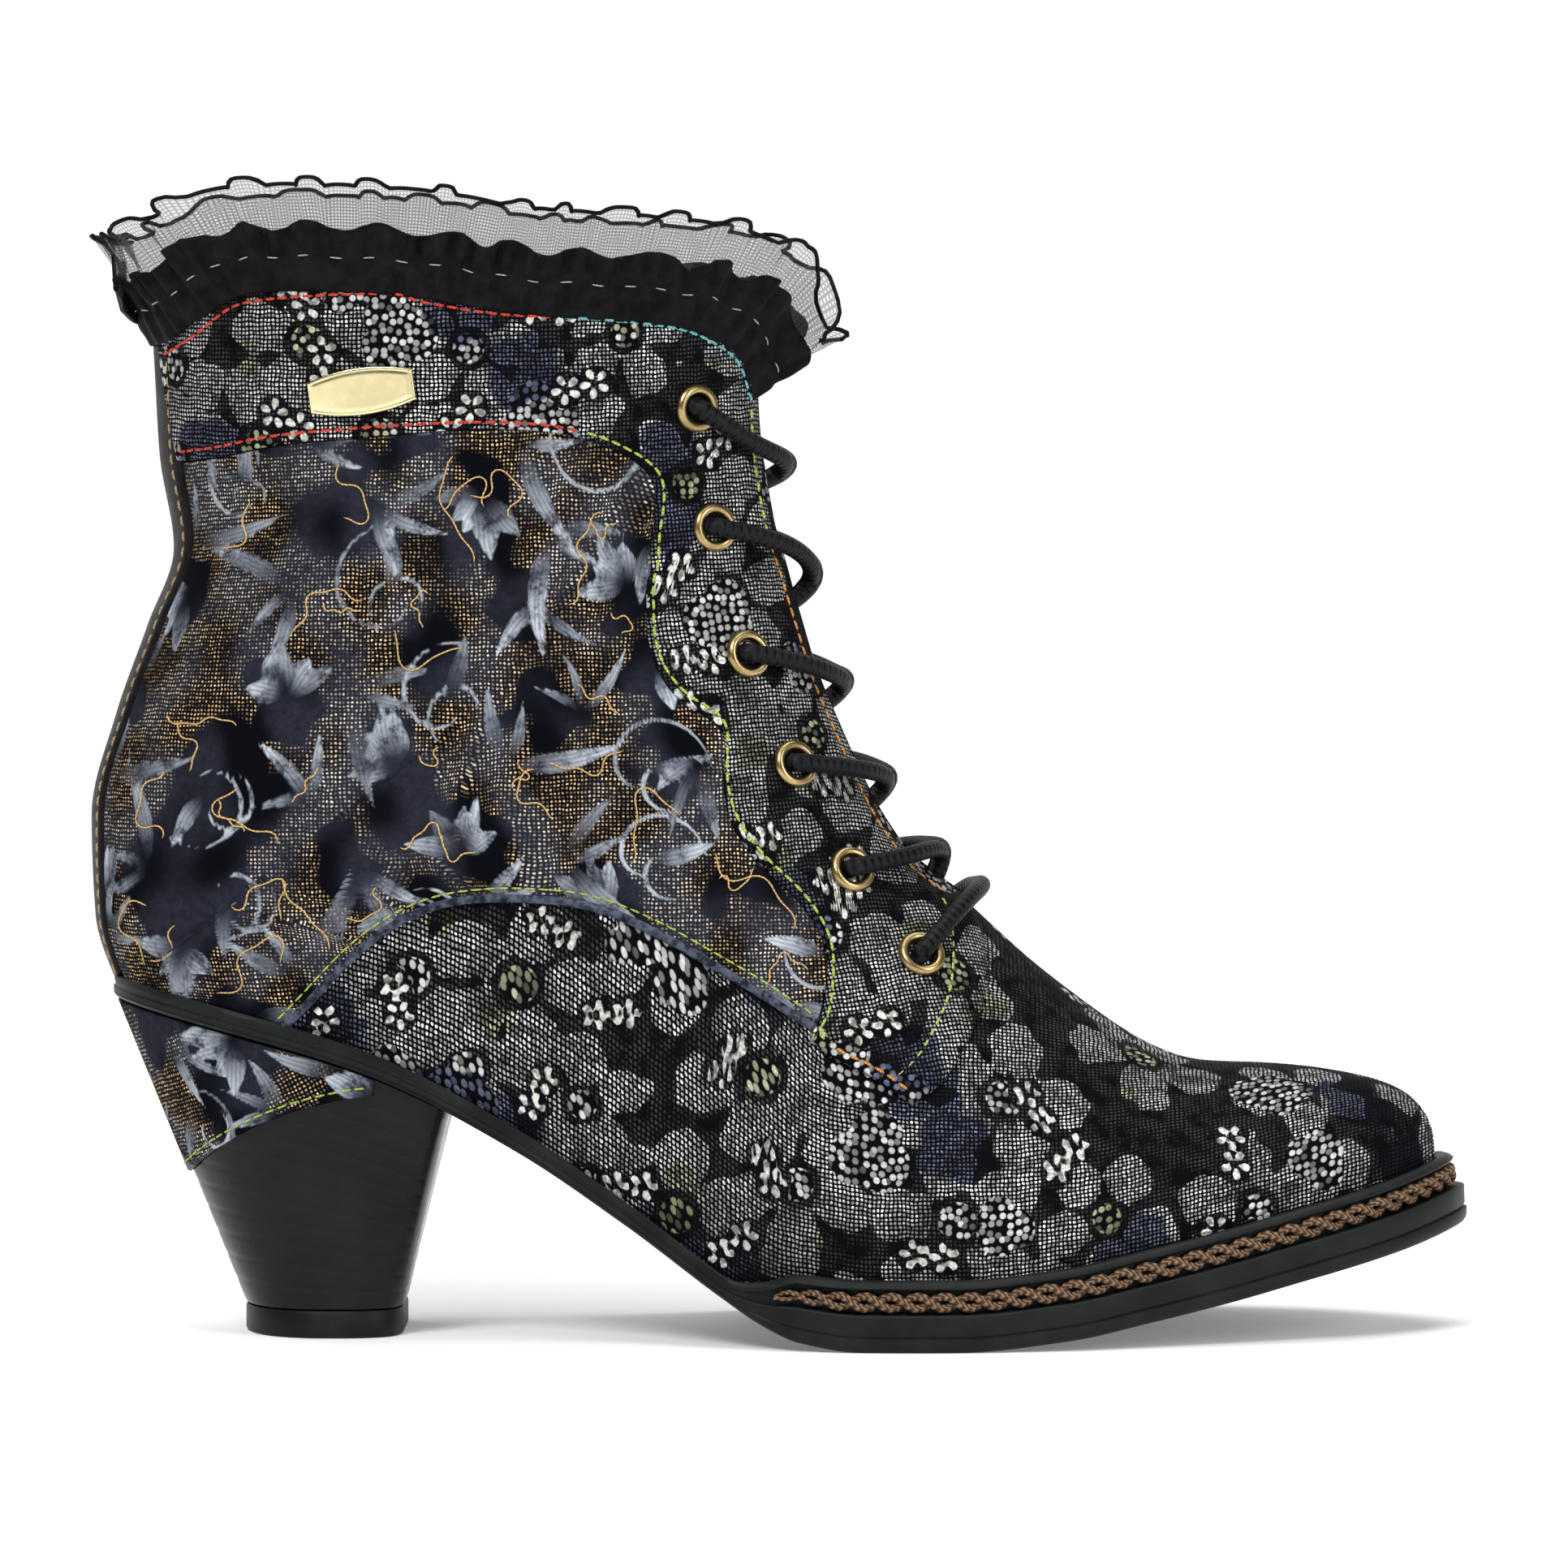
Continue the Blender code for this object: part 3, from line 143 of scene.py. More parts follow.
# One row for each station of the sole. run is a share of SOLE_LENGTH from
# the back, heel and spring are shares of HEEL_HEIGHT and TOE_SPRING, half and
# swing are shares of BALL_WIDTH, and build goes from 0 at the thin strip of
# the waist to 1 at the built-up forefoot.
SOLE_COLUMNS = ("run", "heel", "spring", "half", "swing", "build")
SOLE = (
    (0.00, 1.000, 0.000, 0.300, 0.000, 0.00),
    (0.12, 0.882, 0.000, 0.331, 0.000, 0.00),
    (0.20, 0.776, 0.000, 0.326, 0.000, 0.00),
    (0.30, 0.565, 0.000, 0.315, -0.012, 0.00),
    (0.38, 0.350, 0.000, 0.335, -0.022, 0.00),
    (0.45, 0.146, 0.000, 0.392, -0.033, 0.00),
    (0.48, 0.068, 0.000, 0.421, -0.035, 0.45),
    (0.505, 0.025, 0.000, 0.445, -0.034, 0.92),
    (0.55, 0.000, 0.000, 0.476, -0.028, 1.00),
    (0.62, 0.000, 0.000, 0.500, -0.006, 1.00),
    (0.70, 0.000, 0.090, 0.490, 0.018, 1.00),
    (0.76, 0.000, 0.236, 0.455, 0.034, 1.00),
    (0.82, 0.000, 0.400, 0.410, 0.046, 1.00),
    (0.88, 0.000, 0.590, 0.360, 0.054, 1.00),
    (0.95, 0.000, 0.810, 0.300, 0.057, 1.00),
    (1.00, 0.000, 1.000, 0.255, 0.056, 1.00),
)

# One row for each section of the upper, from the toe to above the collar.
# foot is the share along the sole where it starts, back and rise place the
# feet that stand on the back line (shares of SOLE_LENGTH and UPPER_HEIGHT),
# run and lift place its head (the same shares, lift from the sole under its
# foot), girth adds to its half width and ridge moves its crest to the medial
# side (shares of BALL_WIDTH), low_out and low_in say where it is widest on
# each side, and seat and crown are how square it is below and above that.
UPPER_COLUMNS = ("foot", "back", "rise", "run", "lift", "girth", "ridge",
                 "low_out", "low_in", "seat", "crown")
UPPER = (
    (1.000, 0.000, 0.000, 0.9757, 0.115, 0.000, 0.056, 0.30, 0.30, 2.4, 2.2),
    (0.994, 0.000, 0.000, 0.9737, 0.148, 0.000, 0.056, 0.30, 0.31, 2.4, 2.2),
    (0.975, 0.000, 0.000, 0.9630, 0.195, 0.000, 0.056, 0.29, 0.32, 2.4, 2.2),
    (0.945, 0.000, 0.000, 0.9370, 0.240, 0.000, 0.055, 0.28, 0.33, 2.4, 2.2),
    (0.900, 0.000, 0.000, 0.8930, 0.279, 0.000, 0.054, 0.27, 0.33, 2.4, 2.2),
    (0.845, 0.000, 0.000, 0.8410, 0.314, 0.000, 0.052, 0.25, 0.32, 2.4, 2.2),
    (0.785, 0.000, 0.000, 0.7900, 0.347, 0.000, 0.048, 0.23, 0.31, 2.4, 2.1),
    (0.725, 0.000, 0.000, 0.7430, 0.414, 0.000, 0.042, 0.21, 0.29, 2.4, 2.0),
    (0.660, 0.000, 0.000, 0.6950, 0.497, 0.000, 0.030, 0.19, 0.27, 2.4, 1.9),
    (0.590, 0.000, 0.000, 0.6460, 0.583, 0.050, 0.012, 0.19, 0.26, 2.4, 1.8),
    (0.515, 0.000, 0.000, 0.5995, 0.657, 0.080, 0.002, 0.21, 0.27, 2.4, 1.8),
    (0.435, 0.000, 0.000, 0.5652, 0.661, 0.111, 0.000, 0.25, 0.30, 2.4, 1.8),
    (0.350, 0.000, 0.000, 0.5388, 0.655, 0.180, 0.000, 0.32, 0.35, 2.4, 1.9),
    (0.260, 0.000, 0.000, 0.5186, 0.645, 0.202, 0.000, 0.38, 0.40, 2.5, 1.9),
    (0.165, 0.000, 0.000, 0.5045, 0.658, 0.185, 0.000, 0.41, 0.43, 2.6, 2.0),
    (0.080, 0.000, 0.000, 0.4951, 0.683, 0.213, 0.000, 0.42, 0.44, 2.7, 2.0),
    (0.025, 0.000, 0.000, 0.4891, 0.708, 0.309, 0.000, 0.42, 0.44, 2.8, 2.0),
    (0.000, 0.000, 0.000, 0.4850, 0.748, 0.351, 0.000, 0.42, 0.44, 2.8, 2.0),
    (0.000, -0.0170, 0.099, 0.4818, 0.787, 0.354, 0.000, 0.42, 0.43, 2.7, 2.0),
    (0.000, -0.0198, 0.241, 0.4798, 0.823, 0.357, 0.000, 0.42, 0.42, 2.5, 2.0),
    (0.000, -0.0020, 0.383, 0.4785, 0.854, 0.358, 0.000, 0.42, 0.42, 2.3, 2.0),
    (0.000, 0.0210, 0.509, 0.4777, 0.882, 0.357, 0.000, 0.42, 0.42, 2.2, 2.0),
    (0.000, 0.0413, 0.627, 0.4769, 0.913, 0.357, 0.000, 0.43, 0.43, 2.2, 2.0),
    (0.000, 0.0310, 0.761, 0.4761, 0.953, 0.365, 0.000, 0.44, 0.44, 2.2, 2.1),
    (0.000, 0.0270, 0.902, 0.4753, 0.996, 0.376, 0.000, 0.45, 0.45, 2.2, 2.1),
    (0.000, 0.0223, 1.044, 0.4745, 1.047, 0.382, 0.000, 0.45, 0.45, 2.2, 2.1),
)
HEEL_ROW = 17
TOP_ROW = len(UPPER) - 1
BELLY_PART = 0.40


def column(table, names, name):
    """Return one named column of a table as an array."""
    return np.array([row[names.index(name)] for row in table], dtype=float)


def monotone(knots, values, at):
    """Read a curve through the knots that never overshoots them.

    A cubic between each two knots, whose slope at a knot is the harmonic
    mean of the slopes on its two sides, or zero where they differ in sign.
    """
    step = np.diff(knots)
    slope = np.diff(values) / step
    tangent = np.zeros_like(values)
    same = slope[:-1] * slope[1:] > 0
    left = np.where(same, slope[:-1], 1.0)
    right = np.where(same, slope[1:], 1.0)
    tangent[1:-1] = np.where(same, 2 * left * right / (left + right), 0.0)
    tangent[0] = slope[0]
    tangent[-1] = slope[-1]
    at = np.clip(np.asarray(at, dtype=float), knots[0], knots[-1])
    cell = np.clip(np.searchsorted(knots, at, side="right") - 1, 0, len(step) - 1)
    width = step[cell]
    t = (at - knots[cell]) / width
    rise = values[cell + 1] - values[cell]
    bend = (tangent[cell] + tangent[cell + 1]) * width - 2 * rise
    return (values[cell] + tangent[cell] * width * t
            + (3 * rise - (2 * tangent[cell] + tangent[cell + 1]) * width) * t**2
            + bend * t**3)


def spline(values, at):
    """Read the natural cubic spline through values at whole numbers."""
    count = len(values)
    system = np.eye(count)
    right = np.zeros(count)
    for index in range(1, count - 1):
        system[index, index - 1:index + 2] = (1, 4, 1)
        right[index] = 6 * (values[index - 1] - 2 * values[index] + values[index + 1])
    bend = np.linalg.solve(system, right)
    at = np.asarray(at, dtype=float)
    cell = np.clip(np.floor(at).astype(int), 0, count - 2)
    t = at - cell
    return ((1 - t) * values[cell] + t * values[cell + 1]
            - t * (1 - t) * ((2 - t) * bend[cell] + (1 + t) * bend[cell + 1]) / 6)


def travelled(points):
    """How far along a line each of its points lies."""
    step = np.linalg.norm(np.diff(points, axis=0), axis=1)
    return np.concatenate([[0], np.cumsum(step)])


def read_line(at, way, line):
    """A line read at new places, where way tells how far its points lie."""
    return np.stack([np.interp(at, way, line[:, axis]) for axis in range(line.shape[1])], axis=-1)


def unit(ways):
    """The same ways at unit length."""
    return ways / np.linalg.norm(ways, axis=-1, keepdims=True)


RUNS = column(SOLE, SOLE_COLUMNS, "run")
ROWS = np.arange(len(UPPER), dtype=float)
SMOOTH = ("run", "lift", "girth", "ridge", "low_out", "low_in", "seat", "crown")


def sole_share(name, run):
    """Read a column of SOLE at a share of the sole's length."""
    return monotone(RUNS, column(SOLE, SOLE_COLUMNS, name), run)


def sole_bottom(x):
    """Height of the sole's underside above the floor."""
    run = (x - X_BACK) / SOLE_LENGTH
    return HEEL_HEIGHT * sole_share("heel", run) + TOE_SPRING * sole_share("spring", run)


def built(strip, forefoot):
    """A size of the sole's edge that grows from the strip to the forefoot."""
    return lambda run: strip + (forefoot - strip) * sole_share("build", run)


edge_height = built(STRIP_HEIGHT, FOXING_HEIGHT)
slab_height = built(0.45 * STRIP_HEIGHT, SLAB_HEIGHT)
lip_start = built(0.65 * STRIP_HEIGHT, LIP_START)
floor_height = built(0.50 * STRIP_HEIGHT, FLOOR_HEIGHT)
recess_depth = built(STRIP_GROOVE, RECESS_DEPTH)
lip_setback = built(STRIP_GROOVE, LIP_SETBACK)
feather_margin = built(STRIP_MARGIN, FEATHER_MARGIN)


def outline(run, inset):
    """Place, half width and centre of the sole's plan drawn in by inset.

    The half width of the table, less the inset, is rounded to nothing at
    both ends by a quarter of an ellipse.
    """
    x = X_BACK + inset + run * (SOLE_LENGTH - 2 * inset)
    share = (x - X_BACK) / SOLE_LENGTH
    half = BALL_WIDTH * sole_share("half", share) - inset
    heel = np.sqrt(1 - (1 - np.clip(run / HEEL_ROUND, 0, 1))**2)
    toe = np.sqrt(1 - np.clip((run - 1 + TOE_ROUND) / TOE_ROUND, 0, 1)**2)
    return x, half * heel * toe, BALL_WIDTH * sole_share("swing", share)


def sole_line(run, inset, height):
    """The plan drawn in by inset, carried height above the underside.

    Where the toe springs up, the edge leans back with it.
    """
    x, half, centre = outline(run, inset)
    step = 0.001
    slope = (sole_bottom(x + step) - sole_bottom(x - step)) / (2 * step)
    z = sole_bottom(x) + height
    x = x - TOE_LEAN * height * np.clip(slope, 0, None)
    return x, half, centre, z


def upper_section(row):
    """Foot, head and sizes of the section of the upper at a row number."""
    row = np.asarray(row, dtype=float)
    value = {}
    for name in UPPER_COLUMNS:
        data = column(UPPER, UPPER_COLUMNS, name)
        value[name] = spline(data, row) if name in SMOOTH else monotone(ROWS, data, row)
    foot = np.clip(value["foot"], 0, 1)
    x, base, centre, z = sole_line(foot, feather_margin(foot), floor_height(foot) + GAP)
    under = sole_bottom(x)
    return {
        "foot_x": x + value["back"] * SOLE_LENGTH,
        "foot_z": z + value["rise"] * UPPER_HEIGHT,
        "head_x": X_BACK + value["run"] * SOLE_LENGTH,
        "head_z": under + value["lift"] * UPPER_HEIGHT,
        "base": base,
        "centre": centre,
        "ridge": value["ridge"] * BALL_WIDTH,
        "full": np.hypot(1.02 * base, np.clip(value["girth"], 0, None) * BALL_WIDTH),
        "low_out": value["low_out"],
        "low_in": value["low_in"],
        "seat": value["seat"],
        "crown": value["crown"],
    }


def upper_half(part, tau, side):
    """Climb and half width round one side of a section.

    tau goes from 0 at the foot to 1 at the crest. Below the widest place the
    half width follows a superellipse that starts at the base width, and
    above it one that closes at the crest.
    """
    low = part["low_out"] if side < 0 else part["low_in"]
    full = part["full"]
    base = np.minimum(part["base"], full)
    start = np.clip(tau / BELLY_PART, 0, 1)
    ratio = base / np.maximum(full, 1e-9)
    away = 1 - start**(2 - ratio)
    under = np.sqrt(full**2 - (full**2 - base**2) * away**part["seat"])
    angle = np.clip((tau - BELLY_PART) / (1 - BELLY_PART), 0, 1) * math.pi / 2
    over = np.sin(angle)**(2 / part["crown"])
    below = tau < BELLY_PART
    climb = np.where(below, low * (1 - away), low + (1 - low) * over)
    half = np.where(below, under, full * np.cos(angle))
    return climb, half


def upper_point(row, tau, side):
    """A point of the upper's outer face."""
    part = upper_section(row)
    climb, half = upper_half(part, tau, side)
    x = part["foot_x"] + climb * (part["head_x"] - part["foot_x"])
    z = part["foot_z"] + climb * (part["head_z"] - part["foot_z"])
    middle = part["centre"] + (part["ridge"] - part["centre"]) * climb
    return np.stack([x, middle + side * half, z], axis=-1)


def upper_normal(row, tau, side):
    """The outward direction of the upper's outer face."""
    step = 1e-3
    along = (upper_point(np.clip(row + step, 0, TOP_ROW), tau, side)
             - upper_point(np.clip(row - step, 0, TOP_ROW), tau, side))
    around = (upper_point(row, np.clip(tau + step, 0, 1), side)
              - upper_point(row, np.clip(tau - step, 0, 1), side))
    return unit(-side * np.cross(around, along))


def section_line(row, climb):
    """The place in the side view of a climb up the section at a row."""
    part = upper_section(row)
    x = part["foot_x"] + climb * (part["head_x"] - part["foot_x"])
    z = part["foot_z"] + climb * (part["head_z"] - part["foot_z"])
    return x, z


# Pattern lines as (row, climb), from the back or the top on
COLLAR = ((24.25, -0.10), (24.15, 0.01), (24.30, 0.07), (24.50, 0.125), (24.63, 0.18),
          (24.63, 0.30), (24.50, 0.46), (24.22, 0.60), (24.00, 0.74), (23.66, 0.867),
          (23.18, 0.930), (22.45, 0.968), (21.40, 0.982), (19.90, 0.993), (18.60, 1.01))
CUFF_EDGE = ((22.87, 0.034), (22.82, 0.11), (22.80, 0.20), (22.65, 0.34), (22.27, 0.55),
             (21.46, 0.70), (20.30, 0.79), (19.10, 0.833), (17.60, 0.822),
             (15.90, 0.788), (14.60, 0.755), (13.86, 0.764), (13.40, 0.778),
             (13.05, 0.735), (12.60, 0.695), (12.05, 0.691), (11.50, 0.707),
             (11.05, 0.694), (10.87, 0.636), (10.82, 0.570), (10.79, 0.530))
TAB = ((10.79, 0.530), (10.19, 0.536), (9.49, 0.510))
TAB_FRONT = ((9.49, 0.510), (9.19, 0.607), (9.01, 0.724), (8.92, 0.838), (9.04, 0.948),
             (9.32, 1.030))
QUARTER_EDGE = ((14.50, 0.015), (14.53, 0.088), (14.57, 0.180), (14.48, 0.261),
                (14.20, 0.320), (13.70, 0.375), (13.11, 0.433), (12.35, 0.473),
                (11.45, 0.522), (10.79, 0.560))
STRIP_ROWS = (18.8, 20.0, 21.15, 22.6, 24.6)
STRIP_CLIMBS = (0.020, 0.028, 0.033, 0.036, 0.046)
EYELETS = ((21.05, 0.887), (16.86, 0.905), (13.95, 0.878), (12.43, 0.858),
           (11.11, 0.845), (9.83, 0.819))
THROAT_ROW = 9.75
BAR_ROW = 9.35
BADGE_PLACE = (23.26, 0.347)
BADGE_TURN = math.radians(8)

# One row for each place round half of the heel, from the middle of the
# breast to the middle of the back: run and half give the plan at the floor
# as shares of half the lift's length and width, and top_run and top_half the
# plan under the sole, from its breast (1) to its back (0).
HEEL_COLUMNS = ("run", "half", "top_run", "top_half")
HEEL = (
    (1.00, 0.00, 1.000, 0.00),
    (1.00, 0.45, 1.000, 0.60),
    (0.93, 0.74, 0.985, 0.90),
    (0.72, 0.92, 0.930, 1.00),
    (0.35, 1.00, 0.780, 1.00),
    (0.00, 1.00, 0.600, 1.00),
    (-0.32, 0.94, 0.420, 1.00),
    (-0.58, 0.81, 0.270, 1.00),
    (-0.78, 0.62, 0.150, 1.00),
    (-0.91, 0.40, 0.065, 1.00),
    (-0.98, 0.19, 0.016, 1.00),
    (-1.00, 0.00, 0.000, 1.00),
)
COVER_LOW = 0.42
COVER_FRONT_RUN = 0.80


def heel_line(level, out):
    """Half of the heel's plan at a level, from breast to back.

    The plan goes from the lift's to the sole's as the level goes from 0 to
    1, the width a little later than the length, and out grows it.
    """
    run = column(HEEL, HEEL_COLUMNS, "run")
    half = column(HEEL, HEEL_COLUMNS, "half")
    top_run = column(HEEL, HEEL_COLUMNS, "top_run")
    top_half = column(HEEL, HEEL_COLUMNS, "top_half")
    breast = HEEL_BREAST / SOLE_LENGTH
    share = breast * top_run
    x_top, half_top, _ = outline(share, HEEL_INSET - out)
    half_top = half_top * top_half
    x_low = run * (LIFT_LENGTH / 2 + out)
    half_low = half * (LIFT_WIDTH / 2 + out)
    level = np.broadcast_to(level, x_top.shape)
    x = x_low + (x_top - x_low) * level
    width = half_low + (half_top - half_low) * level**1.3
    floor = LIFT_HEIGHT + GAP
    z = floor + (sole_bottom(x_top) - GAP - floor) * level
    return x, width, z


# Troughs of the skin: two ends in the side view, depth and width, in mm
CREASE_COLUMNS = ("x0", "z0", "x1", "z1", "depth", "width")
CREASES = (
    (20, 121, 58, 84, 1.3, 6.5),
    (-8, 112, 22, 121, 0.7, 6.0),
    (58, 84, 76, 62, 0.6, 6.0),
    (36, 140, 56, 126, 0.5, 6.0),
    (118, 66, 108, 30, 0.6, 6.0),
    (134, 56, 124, 26, 0.45, 7.0),
    (-22, 96, 4, 88, 0.5, 7.0),
    (30, 108, 46, 116, -0.7, 8.0),
)


def crease(x, z, side):
    """How far soft troughs take the skin in, in metres.

    For each line of the table, its depth times a bell of the distance to
    the line, the bell's spread being the width. The medial side has each
    line a little lower and shallower.
    """
    depth = np.zeros_like(x)
    for row in CREASES:
        line = dict(zip(CREASE_COLUMNS, row))
        drop = 4.0 if side > 0 else 0.0
        start = np.array([line["x0"], line["z0"] - drop]) * MM
        end = np.array([line["x1"], line["z1"] - drop]) * MM
        way = end - start
        share = ((x - start[0]) * way[0] + (z - start[1]) * way[1]) / way.dot(way)
        share = np.clip(share, 0, 1)
        gap = np.hypot(x - start[0] - share * way[0], z - start[1] - share * way[1])
        size = line["depth"] * MM * (0.7 if side > 0 else 1.0)
        depth -= size * np.exp(-(gap / (line["width"] * MM))**2)
    return depth


def tau_at(row, climb, side):
    """The tau at which a section reaches a climb, read back from 400 taus."""
    row = np.atleast_1d(np.asarray(row, dtype=float))
    climb = np.broadcast_to(np.asarray(climb, dtype=float), row.shape)
    part = {name: value[:, None] for name, value in upper_section(row).items()}
    tau = np.linspace(0, 1, 400)
    climbs, _ = upper_half(part, tau[None, :], side)
    after = np.clip((climbs < climb[:, None]).sum(axis=1), 1, 399)
    each = np.arange(len(row))
    low = climbs[each, after - 1]
    high = climbs[each, after]
    share = np.clip((climb - low) / np.maximum(high - low, 1e-9), 0, 1)
    return (after - 1 + share) / 399


def throat_tau(row):
    """The tau of the facing's edge: half the throat's width off the crest.

    The half width opens as the square root of the way past the throat's foot.
    """
    row = np.asarray(row, dtype=float)
    half = THROAT_WIDTH / 2 * np.sqrt(np.clip((row - THROAT_ROW + 0.35) / 0.45, 0, 1))
    full = np.maximum(upper_section(row)["full"], 1e-6)
    angle = np.arccos(np.clip(half / full, 0, 1))
    return BELLY_PART + (1 - BELLY_PART) * angle * 2 / math.pi


def skin(row, tau, side, lift):
    """Points and normals of the creased skin, moved out by lift."""
    point = upper_point(row, tau, side)
    normal = upper_normal(row, tau, side)
    dent = crease(point[..., 0], point[..., 2], side)
    return point + normal * (dent + lift)[..., None], normal


def knots_line(knots, count, side):
    """A smooth (row, tau) line through (row, climb) knots, evenly spaced."""
    fine = np.linspace(0, len(knots) - 1, 600)
    rows = spline(np.array([knot[0] for knot in knots]), fine)
    climbs = spline(np.array([knot[1] for knot in knots]), fine)
    taus = tau_at(rows, climbs, side)
    way = travelled(upper_point(rows, taus, side))
    at = np.linspace(0, 1, count) * way[-1]
    return read_line(at, way, np.stack([rows, taus], axis=1))


# Meshes

def keep(made, slot, *nodes):
    """Put a finished piece on the root body, in place of nodes; the slot is not used."""
    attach(made, "root")
    if nodes:
        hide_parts(*nodes)
    return made


def grid_quads(count, width, wrap=False):
    """Corner numbers of the quads of a grid, joined round if it wraps."""
    number = np.arange(count * width).reshape(count, width)
    if wrap:
        number = np.concatenate([number, number[:, :1]], axis=1)
    return np.stack([number[:-1, :-1], number[:-1, 1:], number[1:, 1:], number[1:, :-1]],
                    axis=-1).reshape(-1, 4)


def new_piece(name, points, quads, material, uv=None, marks=None, weld=0.0, recalc=False):
    """Make a smooth object from arrays, with a UV map and named marks."""
    mesh = bpy.data.meshes.new(name)
    mesh.from_pydata(points.reshape(-1, 3).tolist(), [], quads.tolist())
    if uv is not None:
        corner = np.zeros(len(mesh.loops), dtype=np.int32)
        mesh.loops.foreach_get("vertex_index", corner)
        mesh.uv_layers.new(name="cloth")
        mesh.uv_layers["cloth"].data.foreach_set("uv", uv.reshape(-1, 2)[corner].ravel())
    for word, value in (marks or {}).items():
        mark = mesh.attributes.new(word, "FLOAT", "POINT")
        mark.data.foreach_set("value", np.asarray(value, dtype=np.float32).ravel())
    if weld or recalc:
        shape = bmesh.new()
        shape.from_mesh(mesh)
        if weld:
            bmesh.ops.remove_doubles(shape, verts=shape.verts, dist=weld)
            bmesh.ops.dissolve_degenerate(shape, edges=shape.edges, dist=1e-7)
        if recalc:
            bmesh.ops.recalc_face_normals(shape, faces=shape.faces)
        shape.to_mesh(mesh)
        shape.free()
    mesh.shade_smooth()
    mesh.materials.append(material)
    made = bpy.data.objects.new(name, mesh)
    bpy.context.scene.collection.objects.link(made)
    return made


def thicken(made, thickness, offset=-1.0):
    """Give an open sheet its real thickness."""
    wall = made.modifiers.new("wall", "SOLIDIFY")
    wall.thickness = thickness
    wall.offset = offset
    wall.use_even_offset = False
    wall.use_quality_normals = False
    return made


def edge_depth(points):
    """Distance of each point of a grid from its nearest edge, along the grid."""
    down = np.linalg.norm(np.diff(points, axis=0), axis=2)
    over = np.linalg.norm(np.diff(points, axis=1), axis=2)
    from_top = np.concatenate([np.zeros((1, points.shape[1])), np.cumsum(down, axis=0)])
    from_left = np.concatenate([np.zeros((points.shape[0], 1)), np.cumsum(over, axis=1)],
                               axis=1)
    return np.minimum.reduce([from_top, from_top[-1:] - from_top,
                              from_left, from_left[:, -1:] - from_left])


def turned(first, second, normal):
    """The angle from one way to another, seen from outside."""
    across = np.sum(np.cross(first, second) * normal, axis=-1)
    return np.arctan2(across, np.sum(first * second, axis=-1))


def unrolled(points, normals):
    """Cloth coordinates in millimetres: the sheet laid flat.

    The middle line along the sheet is laid out by its steps and by its turns
    within the surface, and each line across it by the same rule.
    """
    middle = points.shape[1] // 2
    spine, out = points[:, middle], normals[:, middle]
    step = np.gradient(spine, axis=0)
    bend = turned(step[:-1], step[1:], out[1:])
    head = np.concatenate([[0], np.cumsum(bend)])
    level = int(np.argmax(np.abs(out[:, 1])))
    face = -np.sign(out[level, 1])
    head += np.arctan2(step[level, 2], face * step[level, 0]) - head[level]
    size = np.linalg.norm(step, axis=1)
    place = np.cumsum(size * np.exp(1j * head))
    sides = []
    for reach in (slice(middle, None), slice(middle, None, -1)):
        strip, skin_out = points[:, reach], normals[:, reach]
        across = np.diff(strip, axis=1)
        first = head + turned(step, across[:, 0], out)
        more = np.cumsum(turned(across[:, :-1], across[:, 1:], skin_out[:, 1:-1]), axis=1)
        course = first[:, None] + np.concatenate([0 * first[:, None], more], axis=1)
        part = np.cumsum(np.linalg.norm(across, axis=2) * np.exp(1j * course), axis=1)
        sides.append(place[:, None] + part)
    flat = np.concatenate([sides[1][:, ::-1], place[:, None], sides[0]], axis=1)
    return np.stack([flat.real, flat.imag], axis=-1) / MM


def body_uv(points):
    """Cloth coordinates in millimetres over the lower boot.

    Along, x. Across, the way up each section from its foot: the sum of the
    steps between the grid's points, less what x has of them.
    """
    step = np.diff(points, axis=1)
    up = np.linalg.norm(step[..., 1:], axis=2)
    climb = np.concatenate([np.zeros((points.shape[0], 1)), np.cumsum(up, axis=1)], axis=1)
    return np.stack([points[..., 0], climb], axis=-1) / MM


# Motifs: a generic layout of round flowers, leaves and clusters

def field(points, scale, seed):
    """A smooth random field of strength 1: 14 seeded plane waves.

    Their sum is divided by the root of half their count, 2.65.
    """
    many, strength = 14, 2.65
    draw = np.random.default_rng(seed)
    ways = draw.normal(size=(many, 3))
    size = 2 * math.pi / scale / np.linalg.norm(ways, axis=1)
    ways *= (size * draw.uniform(0.6, 1.3, many))[:, None]
    phase = draw.uniform(0, 2 * math.pi, many)
    waves = np.cos(points.reshape(-1, 3) @ ways.T + phase).sum(axis=1)
    return waves.reshape(points.shape[:-1]) / strength


def spread(low, high, pitch, seed, jitter=0.28):
    """Places on a triangular lattice of a pitch, each moved a little, in mm."""
    draw = np.random.default_rng(seed)
    x, z = np.meshgrid(np.arange(low[0], high[0], pitch), np.arange(low[1], high[1], 0.87 * pitch))
    x = x + (np.arange(x.shape[0]) % 2)[:, None] * pitch / 2
    place = np.stack([x.ravel(), z.ravel()], axis=1)
    return place + draw.uniform(-jitter, jitter, place.shape) * pitch, draw


